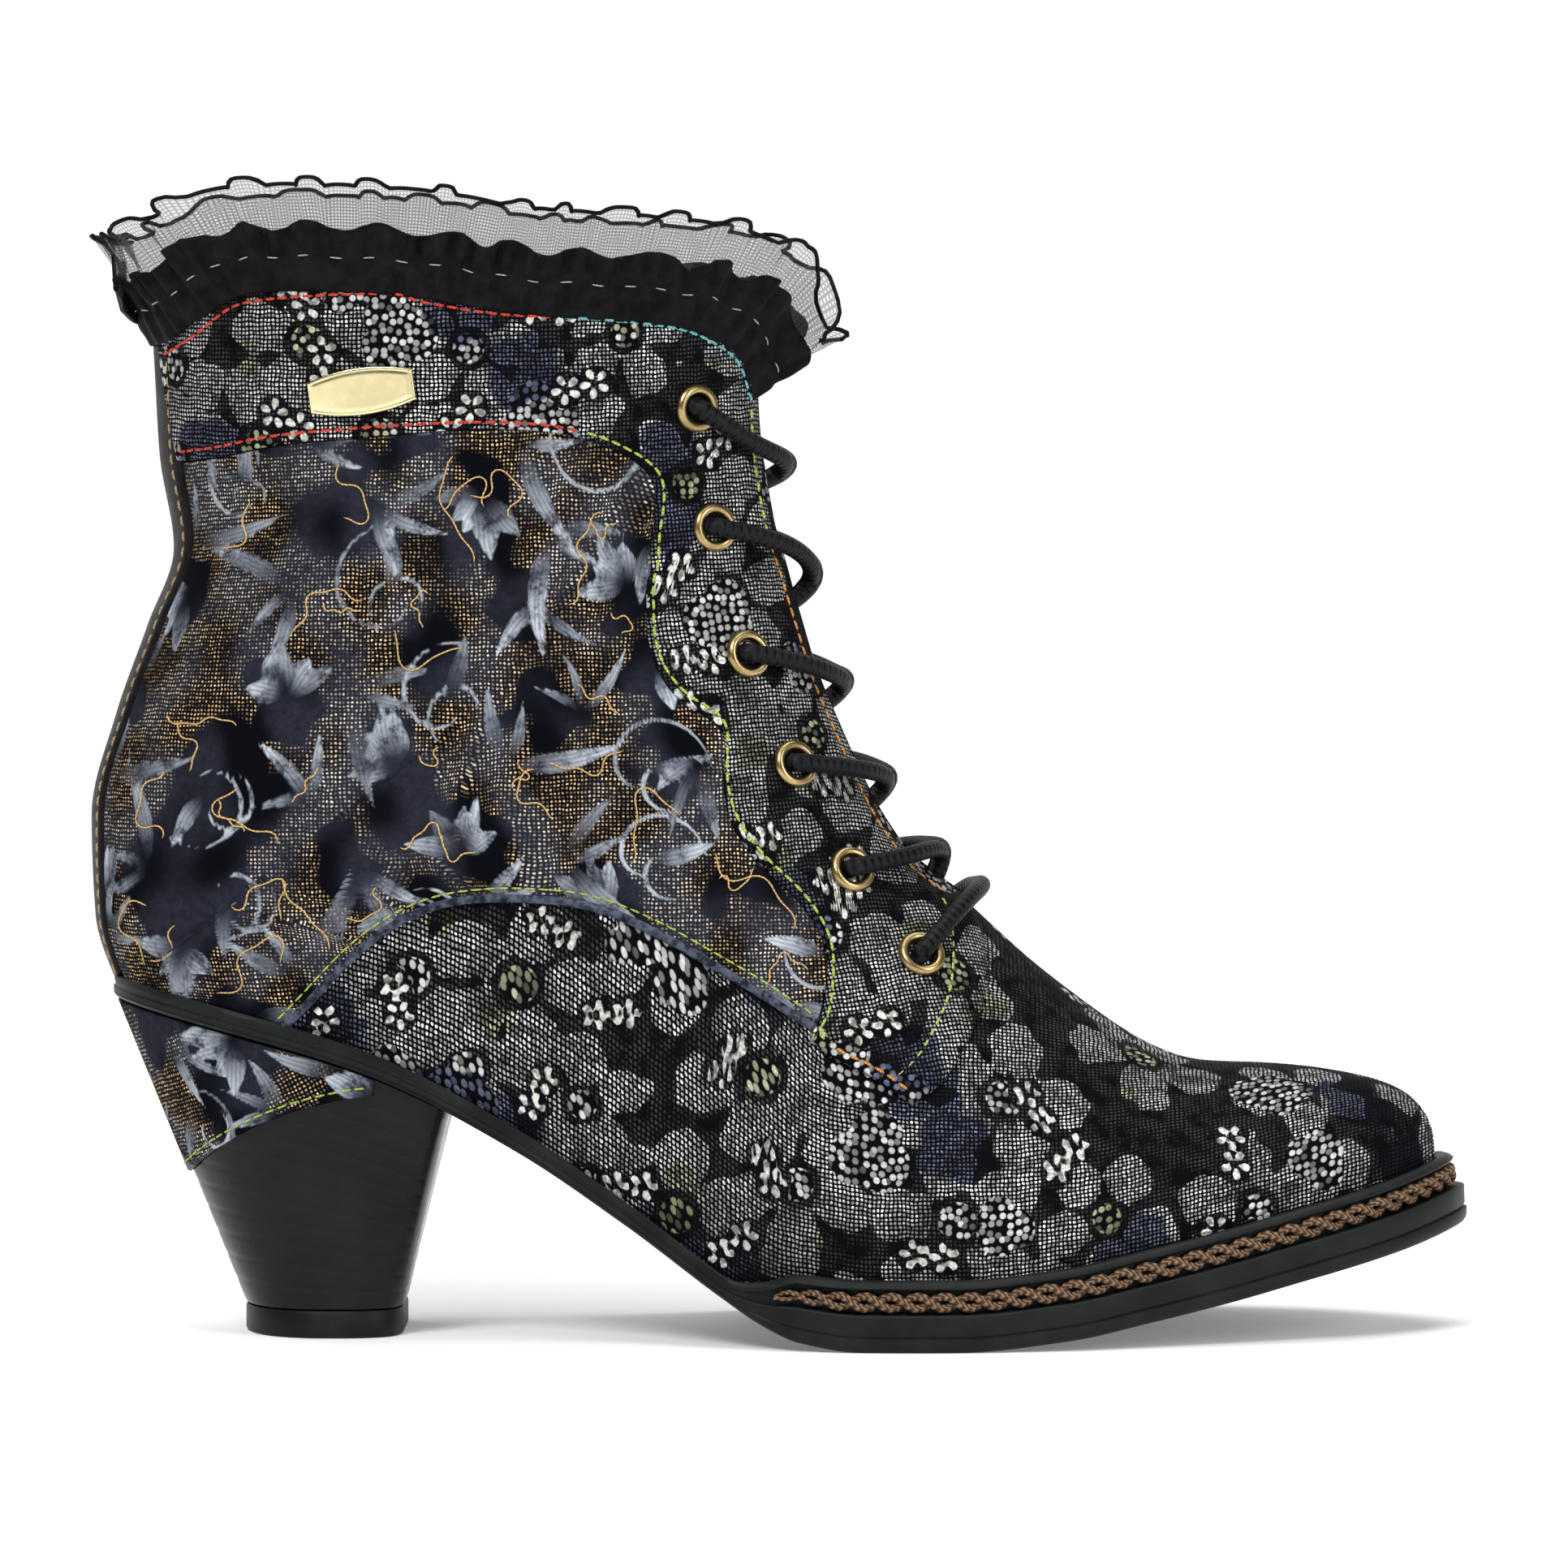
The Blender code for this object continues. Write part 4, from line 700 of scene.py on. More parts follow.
def local(points, normals, place):
    """Millimetres right and up from the point of the skin nearest a place.

    The nearest point is the one nearest in the side view; the two ways lie
    in its tangent plane.
    """
    flat = points.reshape(-1, 3)
    gap = (flat[:, 0] / MM - place[0])**2 + (flat[:, 2] / MM - place[1])**2
    best = int(np.argmin(gap))
    if gap[best] > 100:
        return None
    centre = flat[best]
    normal = normals.reshape(-1, 3)[best]
    along = np.array([1.0, 0, 0]) - normal * normal[0]
    along /= np.linalg.norm(along)
    up = np.cross(normal, along)
    up *= np.sign(up[2]) or 1.0
    away = (points - centre) / MM
    a = away @ along
    b = away @ up
    far = np.abs(away @ normal) > 14
    return np.where(far, 99.0, a), np.where(far, 99.0, b)


def placed(points, normals, places):
    """Each place that lies on the skin: its number and the ways from it."""
    for index, place in enumerate(places):
        near = local(points, normals, place)
        if near is not None:
            yield index, *near


def rosette(a, b, size, turn, count, notch):
    """Depth in mm inside a form of round lobes.

    Its radius is size times (1 - notch + notch |cos(count/2 angle)|^0.55).
    """
    angle = np.arctan2(b, a) - turn
    rim = size * (1 - notch + notch * np.abs(np.cos(count / 2 * angle))**0.55)
    return rim - np.hypot(a, b)


def petals(a, b, ring, length, width, turn, count):
    """Depth in mm inside oval petals set round a ring, which widen outward."""
    depth = np.full_like(a, -9.0)
    for angle in turn + 2 * math.pi * np.arange(count) / count:
        u = a * math.cos(angle) + b * math.sin(angle) - ring
        v = b * math.cos(angle) - a * math.sin(angle)
        broad = width * np.maximum(1 + 0.3 * u / length, 0.3)
        depth = np.maximum(depth, (1 - np.hypot(u / length, v / broad)) * width)
    return depth


def brocade_marks(points, normals, seed):
    """Marks of the silver brocade: foil, pebble, white, navy and olive."""
    foil, pebble, white, navy, olive = (np.full(points.shape[:-1], -9.0) for _ in range(5))
    rim = 0.35 * field(points, 5 * MM, seed + 6)
    shade = field(points, 26 * MM, seed + 5)
    centres, draw = spread(*LAYOUT, 25.0, seed, 0.18)
    for index, a, b in placed(points, normals, centres):
        size = draw.uniform(12.0, 16.0)
        turn = draw.uniform(0, FULL_TURN)
        flower = petals(a, b, 0.58 * size, 0.45 * size, 0.31 * size, turn, 5) + rim
        reach = np.hypot(a, b)
        shade = np.where(flower > foil, 0.5 * shade + 1.7 * reach / size - 0.9, shade)
        foil = np.where(reach < 0.32 * size, -1.0, np.maximum(foil, flower))
        pebble = np.maximum(pebble, 0.22 * size - reach)
        olive = np.maximum(olive, 4.0 - reach if index % 3 == 0 else -9.0)
    leaves, draw = spread(*LAYOUT, 15.0, seed + 2, 0.3)
    for _, a, b in placed(points, normals, leaves):
        blade, _, _ = leaf(a, b, draw.uniform(9, 15), draw.uniform(3.0, 5.0),
                           draw.uniform(0, FULL_TURN), draw.uniform(-3, 3))
        foil = np.where((foil < -1.8) & (pebble < 0), np.maximum(foil, blade + rim), foil)
    centres, draw = spread(*LAYOUT, 16.5, seed + 1)
    for index, a, b in placed(points, normals, centres):
        turn = draw.uniform(0, FULL_TURN)
        reach = np.hypot(a, b)
        if index % 5 in (0, 3):
            for shift in ((0, 0), (5.4 * math.cos(turn), 5.4 * math.sin(turn))):
                blossom = petals(a - shift[0], b - shift[1], 1.75, 1.05, 0.68, turn, 5)
                white = np.maximum(white, blossom)
                dark = 3.4 - np.hypot(a - shift[0], b - shift[1])
                foil = np.where(dark > 0, -1.0, foil)
                pebble = np.where(dark > 0, -1.0, pebble)
        elif index % 5 == 1:
            pebble = np.maximum(pebble, rosette(a, b, draw.uniform(5, 8), turn, 3, 0.35))
        elif index % 5 == 2:
            navy = np.maximum(navy, rosette(a, b, 7.5, turn, 4, 0.3) + rim)
        else:
            olive = np.maximum(olive, 3.6 - reach + rim)
    shade = shade - 0.65 * np.clip((0.168 - points[..., 2]) / 0.02, 0, 1)
    marks = {"foil": foil, "pebble": pebble, "white": white, "navy": navy, "olive": olive,
             "shade": shade}
    return {word: np.clip(value, -3, 3) for word, value in marks.items()}


def leaf(a, b, length, width, turn, bend):
    """Depth in mm inside a curved leaf, the share along it and mm across.

    Its half width is the width times sin(pi t)^0.8 (1 - t/2) at the share t
    of its length, measured from a middle line that bends by a parabola.
    """
    u = (a * math.cos(turn) + b * math.sin(turn)) / length
    v = b * math.cos(turn) - a * math.sin(turn) - bend * u**2
    t = np.clip(u, 0, 1)
    half = width * np.sin(math.pi * t)**0.8 * (1 - 0.5 * t)
    return np.where((u < 0) | (u > 1), -1.0, half - np.abs(v)), u, v


def curl(a, b, size, turn, way):
    """Depth in mm inside a thin spiral stroke.

    Its radius is size (1 - 0.16 p) at the angle p from 0 to 4.6, and it
    thins to both ends.
    """
    last = 4.6
    angle = (way * np.arctan2(b, a) - turn) % (2 * math.pi)
    broad = 0.55 * np.sin(math.pi * np.clip(angle / last, 0, 1))**0.5
    off = np.abs(np.hypot(a, b) - size * (1 - 0.16 * angle))
    return np.where(angle < last, broad - off, -1.0)


def velvet_marks(points, normals, seed):
    """Marks of the velvety cloth: gold dots, painted strokes and painted sheen.

    A stroke has its depth, the share along it and the millimetres across.
    """
    gold = field(points, 30 * MM, seed + 9) * 2.0 + 1.7
    paint = np.full(points.shape[:-1], -9.0)
    tip, vein = np.zeros_like(paint), np.zeros_like(paint)
    wander = 2.4 * field(points, 9 * MM, seed + 4)

    def stroke(depth, along, across):
        """Lay a stroke of its own strength over the ones before it."""
        nonlocal paint, tip, vein
        tip = np.where(depth > 0, along * draw.uniform(0.35, 1.1), tip)
        vein = np.where(depth > 0, across, vein)
        paint = np.where(depth > 0, depth, np.maximum(paint, depth))

    centres, draw = spread((-48, 20), (110, 175), 18.5, seed, 0.30)
    for index, a, b in placed(points, normals, centres):
        turn = draw.uniform(0, FULL_TURN)
        kind = index % 4
        if kind == 0:
            for step in range(5):
                stroke(*leaf(a, b, draw.uniform(7, 12), draw.uniform(2.0, 3.6), turn + 0.55 * step,
                             draw.uniform(-2.5, 2.5)))
            gold = np.minimum(gold, (np.hypot(a, b) - 7 + wander) / 2)
        elif kind == 1:
            stroke(*leaf(a, b, 21, 2.6, turn, 7))
            stroke(*leaf(a, b, 14, 2.2, turn + 2.3, -5))
            stroke(*leaf(a, b, 11, 1.7, turn + 1.2, 3))
        elif kind == 2:
            stroke(curl(a, b, draw.uniform(8, 13), turn, 1), 0.7 + 0 * a, 0 * a)
            stroke(curl(a - 3, b + 2, draw.uniform(5, 9), turn + 1.0, -1), 0.8 + 0 * a, 0 * a)
            stroke(*leaf(a, b, 12, 2.4, turn, 3))
        else:
            for step in range(3):
                stroke(*leaf(a, b, draw.uniform(9, 15), draw.uniform(1.3, 2.2), turn + 0.75 * step,
                             draw.uniform(2, 6)))
            gold = np.minimum(gold, (np.hypot(a + 6, b) - 6 + wander) / 2)
    # painted sheen: a random field 15 mm across that the shader turns into lighter patches of the
    # ground
    return {"gold": np.clip(gold, -3, 3), "paint": np.clip(paint, -3, 3), "tip": tip, "vein": vein,
            "dusk": field(points, 15 * MM, seed + 3)}


# Materials

def group(name, inputs, outputs):
    """Start a shader node group with named float or vector sockets."""
    made = bpy.data.node_groups.new(name, "ShaderNodeTree")
    for word, kind in inputs:
        made.interface.new_socket(word, in_out="INPUT", socket_type=kind)
    for word in outputs:
        made.interface.new_socket(word, in_out="OUTPUT", socket_type="NodeSocketFloat")
    return made, made.nodes.new("NodeGroupInput"), made.nodes.new("NodeGroupOutput")


class Nodes:
    """Short calls that add and join nodes in one tree."""

    def __init__(self, tree):
        self.tree = tree

    def put(self, kind, *values, **settings):
        """Add a node, set its settings and feed its first inputs."""
        node = self.tree.nodes.new(kind)
        for word, value in settings.items():
            setattr(node, word, value)
        for socket, value in zip(node.inputs, values):
            self.feed(socket, value)
        return node

    def feed(self, socket, value):
        """Link a socket to an output, or set its value."""
        if isinstance(value, bpy.types.NodeSocket):
            self.tree.links.new(value, socket)
        elif value is not None:
            socket.default_value = value

    def math(self, operation, *values):
        """One Math node's result."""
        return self.put("ShaderNodeMath", *values, operation=operation).outputs[0]

    def times(self, first, second):
        """The product of two values."""
        return self.math("MULTIPLY", first, second)

    def vector(self, operation, *values):
        """One Vector Math node's vector result."""
        return self.put("ShaderNodeVectorMath", *values, operation=operation).outputs[0]

    def step(self, value, low, high, to_low=0.0, to_high=1.0):
        """A smooth step from to_low to to_high as value goes low to high."""
        node = self.tree.nodes.new("ShaderNodeMapRange")
        node.interpolation_type = "SMOOTHSTEP"
        for word, item in (("Value", value), ("From Min", low), ("From Max", high),
                           ("To Min", to_low), ("To Max", to_high)):
            self.feed(node.inputs[word], item)
        return node.outputs["Result"]

    def mix(self, share, first, second):
        """Blend two colours."""
        node = self.tree.nodes.new("ShaderNodeMix")
        node.data_type = "RGBA"
        self.feed(node.inputs[0], share)
        self.feed(node.inputs[6], first)
        self.feed(node.inputs[7], second)
        return node.outputs[2]

    def blend(self, share, first, second):
        """Blend two values."""
        return self.put("ShaderNodeMix", share, None, first, second).outputs[0]

    def cloth(self):
        """The piece's own UV map."""
        return self.put("ShaderNodeUVMap", uv_map="cloth").outputs[0]

    def solid(self):
        """Object coordinates."""
        return self.put("ShaderNodeTexCoord").outputs["Object"]

    def mark(self, name):
        """Read a float attribute of the mesh."""
        return self.put("ShaderNodeAttribute", attribute_name=name).outputs["Fac"]

    def noise(self, where, scale, detail=3.0, rough=0.5):
        """A noise value from 0 to 1."""
        node = self.tree.nodes.new("ShaderNodeTexNoise")
        self.feed(node.inputs["Vector"], where)
        node.inputs["Scale"].default_value = scale
        node.inputs["Detail"].default_value = detail
        node.inputs["Roughness"].default_value = rough
        return node.outputs["Fac"]


PATTERN = (("Vector", "NodeSocketVector"), ("Pitch", "NodeSocketFloat"))


def woven_dots():
    """Dots of foil between threads.

    (1/2 - cos(2 pi u)/2)(1/2 - cos(2 pi v)/2) on coordinates over the pitch,
    each dot with its own random number.
    """
    made, start, end = group("woven dots", PATTERN, ("Dot", "Random"))
    n = Nodes(made)
    wobble = n.put("ShaderNodeTexNoise")
    n.feed(wobble.inputs["Vector"], start.outputs[0])
    wobble.inputs["Scale"].default_value = 0.35
    shift = n.vector("SCALE", wobble.outputs["Color"])
    shift.node.inputs["Scale"].default_value = 0.9
    moved = n.vector("ADD", start.outputs[0], shift)
    scaled = n.put("ShaderNodeVectorMath", moved, operation="SCALE")
    n.feed(scaled.inputs["Scale"], n.math("DIVIDE", 1.0, start.outputs[1]))
    parts = n.put("ShaderNodeSeparateXYZ", scaled.outputs[0])
    waves = [n.math("MULTIPLY_ADD", n.math("COSINE", n.times(parts.outputs[axis], 2 * math.pi)),
                    -0.5, 0.5) for axis in (0, 1)]
    n.feed(end.inputs[0], n.times(waves[0], waves[1]))
    cell = n.vector("FLOOR", scaled.outputs[0])
    n.feed(end.inputs[1], n.put("ShaderNodeTexWhiteNoise", cell).outputs["Value"])
    return made


def pebbles():
    """Round cells between dark seams, each with its own random number."""
    made, start, end = group("pebbles", PATTERN, ("Cell", "Random"))
    n = Nodes(made)
    scaled = n.put("ShaderNodeVectorMath", start.outputs[0], operation="SCALE")
    n.feed(scaled.inputs["Scale"], n.math("DIVIDE", 1.0, start.outputs[1]))
    cells = n.put("ShaderNodeTexVoronoi", scaled.outputs[0], voronoi_dimensions="2D")
    cells.inputs["Scale"].default_value = 1.0
    cells.inputs["Randomness"].default_value = 0.65
    n.feed(end.inputs[0], n.step(cells.outputs["Distance"], 0.46, 0.30))
    n.feed(end.inputs[1], n.put("ShaderNodeSeparateColor", cells.outputs["Color"]).outputs[0])
    return made


DOTS = woven_dots()
PEBBLES = pebbles()


def new_material(name):
    """An empty Principled material: its node helper and its shader."""
    made = bpy.data.materials.new(name)
    made.use_nodes = True
    return made, Nodes(made.node_tree), made.node_tree.nodes["Principled BSDF"]


def use(n, tree, where, pitch):
    """Place a group on coordinates at a pitch and return its outputs."""
    node = n.tree.nodes.new("ShaderNodeGroup")
    node.node_tree = tree
    n.feed(node.inputs[0], where)
    node.inputs[1].default_value = pitch
    return node.outputs


def bump(n, shader, height, strength, distance=0.0002):
    """Feed the shader's normal from a height."""
    node = n.put("ShaderNodeBump")
    node.inputs["Strength"].default_value = strength
    node.inputs["Distance"].default_value = distance
    n.feed(node.inputs["Height"], height)
    n.feed(shader.inputs["Normal"], node.outputs[0])


def set_all(shader, **values):
    """Set the shader's own sockets; underscores stand for spaces."""
    for word, value in values.items():
        shader.inputs[word.replace("_", " ")].default_value = value


def brocade():
    """Black cloth woven with silver foil dots, petals and pebbles."""
    made, n, shader = new_material("silver_brocade")
    uv = n.cloth()
    solid = n.solid()
    dot, luck = use(n, DOTS, uv, 0.76)
    cell, cell_luck = use(n, PEBBLES, uv, 1.5)
    foil = n.step(n.mark("foil"), -0.12, 0.12)
    pebble = n.step(n.mark("pebble"), -0.15, 0.15)
    white = n.step(n.mark("white"), -0.06, 0.10)
    navy = n.step(n.mark("navy"), -0.5, 0.5)
    olive = n.step(n.mark("olive"), -0.5, 0.9)
    shade = n.step(n.mark("shade"), -1.2, 1.1, 0.28, 1.05)
    worn = n.step(n.noise(solid, 260.0, 3.0, 0.6), 0.36, 0.62)
    sweep = n.step(n.noise(solid, 120.0, 2.0, 0.5), 0.36, 0.64, 0.60, 1.0)
    gleam = n.times(n.times(n.step(luck, 0.0, 1.0, 0.35, 1.25), shade), sweep)
    spot = n.step(dot, 0.16, 0.50)
    faint = n.times(n.times(spot, worn), 0.05)
    full = n.times(n.times(spot, gleam), n.math("MULTIPLY_ADD", worn, 0.35, 0.65))
    woven = n.blend(foil, faint, full)
    stones = n.times(cell, n.math("MULTIPLY_ADD", cell_luck, 0.70, 0.08))
    over = n.blend(pebble, woven, stones)
    chips = n.step(n.noise(solid, 650.0, 2.0), 0.34, 0.60, 0.25, 1.0)
    cover = n.blend(white, over, chips)
    thread = n.mix(n.times(navy, 0.9), (0.78, 0.79, 0.77, 1), (0.075, 0.09, 0.19, 1))
    thread = n.mix(n.times(olive, 0.6), thread, (0.42, 0.46, 0.14, 1))
    thread = n.mix(white, thread, (0.66, 0.67, 0.62, 1))
    n.feed(shader.inputs["Base Color"], n.mix(cover, (0.002, 0.002, 0.003, 1), thread))
    n.feed(shader.inputs["Metallic"], n.times(cover, 0.80))
    n.feed(shader.inputs["Roughness"], n.math("MULTIPLY_ADD", cover, -0.42, 0.75))
    height = n.math("ADD", n.times(dot, 0.7), n.times(pebble, cell))
    bump(n, shader, height, 0.7)
    set_all(shader, Specular_IOR_Level=0.035)
    return made


def velvet():
    """Navy-black napped cloth with gold dots, painted strokes and a painted sheen."""
    made, n, shader = new_material("velvety_cloth")
    uv = n.cloth()
    solid = n.solid()
    dot, luck = use(n, DOTS, uv, 0.74)
    gold = n.step(n.mark("gold"), -0.6, 0.5)
    paint = n.step(n.mark("paint"), -0.12, 0.30)
    # painted sheen: where this field is high the ground is lighter and the gold dots paler
    dusk = n.step(n.mark("dusk"), -1.2, 1.2)
    nap = n.noise(solid, 700.0, 4.0, 0.7)
    hair = n.math("SINE", n.math("MULTIPLY_ADD", n.noise(solid, 300.0, 2.0), 5.0,
                                 n.times(n.mark("vein"), 7.5)))
    brush = n.times(n.step(hair, -1.0, 1.0, 0.62, 1.0),
                   n.step(n.noise(solid, 300.0, 4.0, 0.7), 0.32, 0.58, 0.1, 1.0))
    tip = n.step(n.mark("tip"), 0.0, 0.9, 0.05, 1.0)
    patchy = n.step(n.noise(solid, 150.0, 3.0), 0.34, 0.60, 0.25, 1.0)
    sparkle = n.times(n.step(luck, 0.1, 1.0, 0.12, 1.0), patchy)
    spot = n.times(n.step(dot, 0.30, 0.60), n.times(gold, sparkle))
    # the ground: near black, lightened to grey-blue by the painted sheen times the nap's noise;
    # the gold of the dots is paler where the painted sheen is high
    ground = n.mix(n.times(dusk, nap), (0.002, 0.0022, 0.0042, 1), (0.030, 0.032, 0.048, 1))
    shimmer = n.mix(dusk, (0.86, 0.58, 0.28, 1), (0.80, 0.72, 0.58, 1))
    cloth = n.mix(spot, ground, shimmer)
    stroke = n.mix(n.times(brush, tip), (0.035, 0.040, 0.060, 1), (0.50, 0.55, 0.61, 1))
    laid = n.times(n.step(brush, 0.0, 0.4, 0.5, 0.97), n.step(n.mark("tip"), 0.0, 0.35))
    cover = n.times(paint, laid)
    n.feed(shader.inputs["Base Color"], n.mix(cover, cloth, stroke))
    bare = n.math("SUBTRACT", 1.0, cover)
    n.feed(shader.inputs["Metallic"], n.times(n.times(spot, 0.5), bare))
    n.feed(shader.inputs["Roughness"], n.math("MULTIPLY_ADD", spot, -0.5, 0.92))
    height = n.math("ADD", n.times(nap, 0.6), n.math("ADD", spot, cover))
    bump(n, shader, height, 0.5, 0.00015)
    set_all(shader, Specular_IOR_Level=0.04)
    return made


def plain(name, colour, other, scale, roughness, strength=0.3, metallic=0.0, coat=0.0,
          distance=0.0001, gloss=0.2):
    """A one-colour finish with mottling, uneven gloss and a fine grain."""
    made, n, shader = new_material(name)
    solid = n.solid()
    mottle = n.noise(solid, scale, 4.0, 0.6)
    grain = n.noise(solid, scale * 9, 3.0, 0.6)
    tint = n.mix(n.step(mottle, 0.32, 0.68), (*colour, 1), (*other, 1))
    n.feed(shader.inputs["Base Color"], tint)
    worn = n.step(mottle, 0.25, 0.75, roughness - 0.06, roughness + 0.08)
    n.feed(shader.inputs["Roughness"], worn)
    bump(n, shader, n.math("ADD", grain, mottle), strength, distance)
    set_all(shader, Metallic=metallic, Coat_Weight=coat, Coat_Roughness=0.08,
            Specular_IOR_Level=gloss)
    return made


def spun(name, colour, other, pitch=1.1, roughness=0.6, strength=0.8, plaited=True):
    """Braided or twisted yarn: slanting ridges on the piece's own UV map."""
    made, n, shader = new_material(name)
    uv = n.cloth()
    parts = n.put("ShaderNodeSeparateXYZ", uv)
    along = n.math("DIVIDE", parts.outputs[1], pitch)
    ridge = n.math("SINE", n.times(n.math("ADD", along, parts.outputs[0]), 2 * math.pi))
    if plaited:
        back = n.math("SUBTRACT", along, parts.outputs[0])
        other_way = n.math("SINE", n.times(back, 2 * math.pi))
        ridge = n.math("MAXIMUM", ridge, other_way)
    solid = n.solid()
    fuzz = n.noise(solid, 1500.0, 3.0, 0.7)
    share = n.times(n.step(ridge, -0.6, 1.0), n.step(fuzz, 0.3, 0.7, 0.5, 1.0))
    n.feed(shader.inputs["Base Color"], n.mix(share, (*colour, 1), (*other, 1)))
    bump(n, shader, n.math("ADD", ridge, fuzz), strength, 0.0001)
    set_all(shader, Roughness=roughness, Specular_IOR_Level=0.08)
    return made


BROCADE = brocade()
VELVET = velvet()
RUBBER = plain("black_rubber", (0.008, 0.009, 0.009), (0.014, 0.016, 0.016), 90.0, 0.44, 0.25,
               gloss=0.10)
LEATHER = plain("black_leather", (0.005, 0.005, 0.006), (0.010, 0.010, 0.011), 260.0, 0.45, 0.5,
                gloss=0.08)
LINING = plain("grey_lining", (0.035, 0.035, 0.038), (0.06, 0.06, 0.064), 400.0, 0.85, 0.4)
FOOTBED = plain("tan_footbed", (0.22, 0.15, 0.09), (0.36, 0.26, 0.17), 120.0, 0.7, 0.4)
HEEL_GLOSS = plain("glossy_heel", (0.004, 0.004, 0.004), (0.008, 0.008, 0.008), 70.0, 0.30, 0.12,
                   coat=0.22, gloss=0.05)
OLD_BRASS = plain("antique_brass", (0.45, 0.33, 0.15), (0.30, 0.22, 0.10), 300.0, 0.30, 0.12,
                  metallic=1.0)
PALE_BRASS = plain("polished_brass", (0.80, 0.70, 0.40), (0.76, 0.66, 0.38), 160.0, 0.25, 0.01,
                   metallic=1.0)
RIBBON = plain("black_ribbon", (0.0035, 0.0035, 0.004), (0.009, 0.009, 0.010), 300.0, 0.6, 0.5,
               gloss=0.04)
WAXED = spun("waxed_lace", (0.002, 0.002, 0.0025), (0.014, 0.015, 0.017), 1.6, 0.45, 0.7)
BROWN_CORD = spun("brown_cord", (0.060, 0.034, 0.020), (0.30, 0.195, 0.12), 1.3, 0.5, 0.45,
                  plaited=False)
GOLD_CORD = spun("gold_cord", (0.30, 0.16, 0.05), (0.92, 0.64, 0.26), 0.8, 0.4, 0.6)
PIPING = plain("denim_piping", (0.008, 0.010, 0.020), (0.085, 0.10, 0.135), 700.0, 0.85, 0.9,
               gloss=0.1)
RED = spun("red_thread", (0.35, 0.02, 0.015), (0.85, 0.10, 0.06), 0.6, 0.5)
LIME = spun("lime_thread", (0.22, 0.30, 0.03), (0.62, 0.78, 0.16), 0.6, 0.5)
ORANGE = spun("orange_thread", (0.35, 0.13, 0.02), (0.85, 0.42, 0.12), 0.6, 0.5)
TEAL = spun("teal_thread", (0.05, 0.25, 0.25), (0.25, 0.68, 0.66), 0.6, 0.5)
TAN = spun("tan_thread", (0.20, 0.13, 0.06), (0.52, 0.38, 0.22), 0.6, 0.5)
SILVER = spun("silver_thread", (0.20, 0.20, 0.21), (0.62, 0.62, 0.64), 0.6, 0.35)


# Upper and panels

def cluster(count, edge):
    """Shares from 0 to 1 with three more close to each end."""
    ends = np.array([0.0, 0.2, 0.5]) * edge
    middle = np.linspace(edge, 1 - edge, count - 6)
    return np.concatenate([ends, middle, 1 - ends[::-1]])


def rounded(depth, thickness, round_edge=0.0006):
    """Height of a sheet of a thickness whose edge is a quarter circle."""
    near = np.clip(depth / round_edge, 0, 1)
    return thickness - round_edge * (1 - np.sqrt(1 - (1 - near)**2))


def collar_row(tau, side):
    """The row of the collar line at each tau, and below it the upper ends."""
    line = knots_line(COLLAR, 300, side)
    order = np.argsort(line[:, 1])
    return np.interp(tau, line[order, 1], line[order, 0])


def upper_rows():
    """Row numbers: close on the toe, the vamp and the waist, wide above."""
    return np.concatenate([np.linspace(0, 1, 26)[:-1]**1.3, np.linspace(1, 10, 165)[:-1],
                           np.linspace(10, 14.8, 126)[:-1], np.linspace(14.8, 17, 10)])


def shaft_places(low, high, share, side):
    """Rows and taus of one side of the upper.

    tau is a share of the way to the throat's edge, and above the counter
    the rows are drawn up to the collar line.
    """
    throat_row = 20.8
    under_collar = 0.05
    top = collar_row(share * float(throat_tau(throat_row)), side)
    row_high = HEEL_ROW + (top[None] - under_collar - HEEL_ROW) * high[:, None]
    row = np.concatenate([np.broadcast_to(low[:, None], (len(low), len(share))), row_high])
    tau = np.concatenate([share[None] * throat_tau(low)[:, None],
                          share[None] * throat_tau(row_high)])
    return row, tau


def two_grids(points, flip):
    """Quads of the grids of the two sides, the one that flip names turned."""
    quads = grid_quads(*points.shape[:2])
    pair = [quads, quads + points.shape[0] * points.shape[1]]
    pair[flip] = pair[flip][:, ::-1]
    return np.concatenate(pair)


def make_upper():
    """The outer face of the upper: lower boot dense, shaft up to the collar."""
    share = np.linspace(0, 1, 106)
    high = np.linspace(0, 1, 44)[1:]
    grids = []
    for side in (-1, 1):
        row, tau = shaft_places(upper_rows(), high, share, side)
        grids.append((*skin(row, tau, side, np.zeros_like(row)), side))
    points = np.concatenate([grid[0] for grid in grids])
    quads = two_grids(grids[0][0], 1)
    marks = [brocade_marks(point, normal, 11 if side < 0 else 23) for point, normal, side in grids]
    marks = {word: np.concatenate([mark[word] for mark in marks]) for word in marks[0]}
    uv = np.concatenate([body_uv(point) for point, _, _ in grids])
    made = new_piece("brocade_upper", points, quads, BROCADE, uv, marks, weld=2e-6)
    return keep(made, "upper", "upper")


def make_lining():
    """The inner face of the wall, from the insole to the collar and throat."""
    share = np.linspace(0, 1, 34)
    rows = np.linspace(0.3, HEEL_ROW, 60)
    high = np.linspace(0, 1, 24)[1:]
    points = []
    for side in (-1, 1):
        row, tau = shaft_places(rows, high, share, side)
        points.append(skin(row, tau, side, np.full_like(row, -WALL))[0])
    made = new_piece("lining", np.concatenate(points), two_grids(points[0], 0), LINING, weld=2e-6)
    thicken(made, 0.0012, 1.0)
    return keep(made, "lining")


def faced(points, way, row, cell):
    """Quads of a grid, turned so that the one at a place faces along a way."""
    quads = grid_quads(*points.shape[:2])
    here = points[row, cell]
    facing = np.cross(points[row + 1, cell] - here, points[row, cell + 1] - here)
    return quads[:, ::-1] if facing @ way > 0 else quads


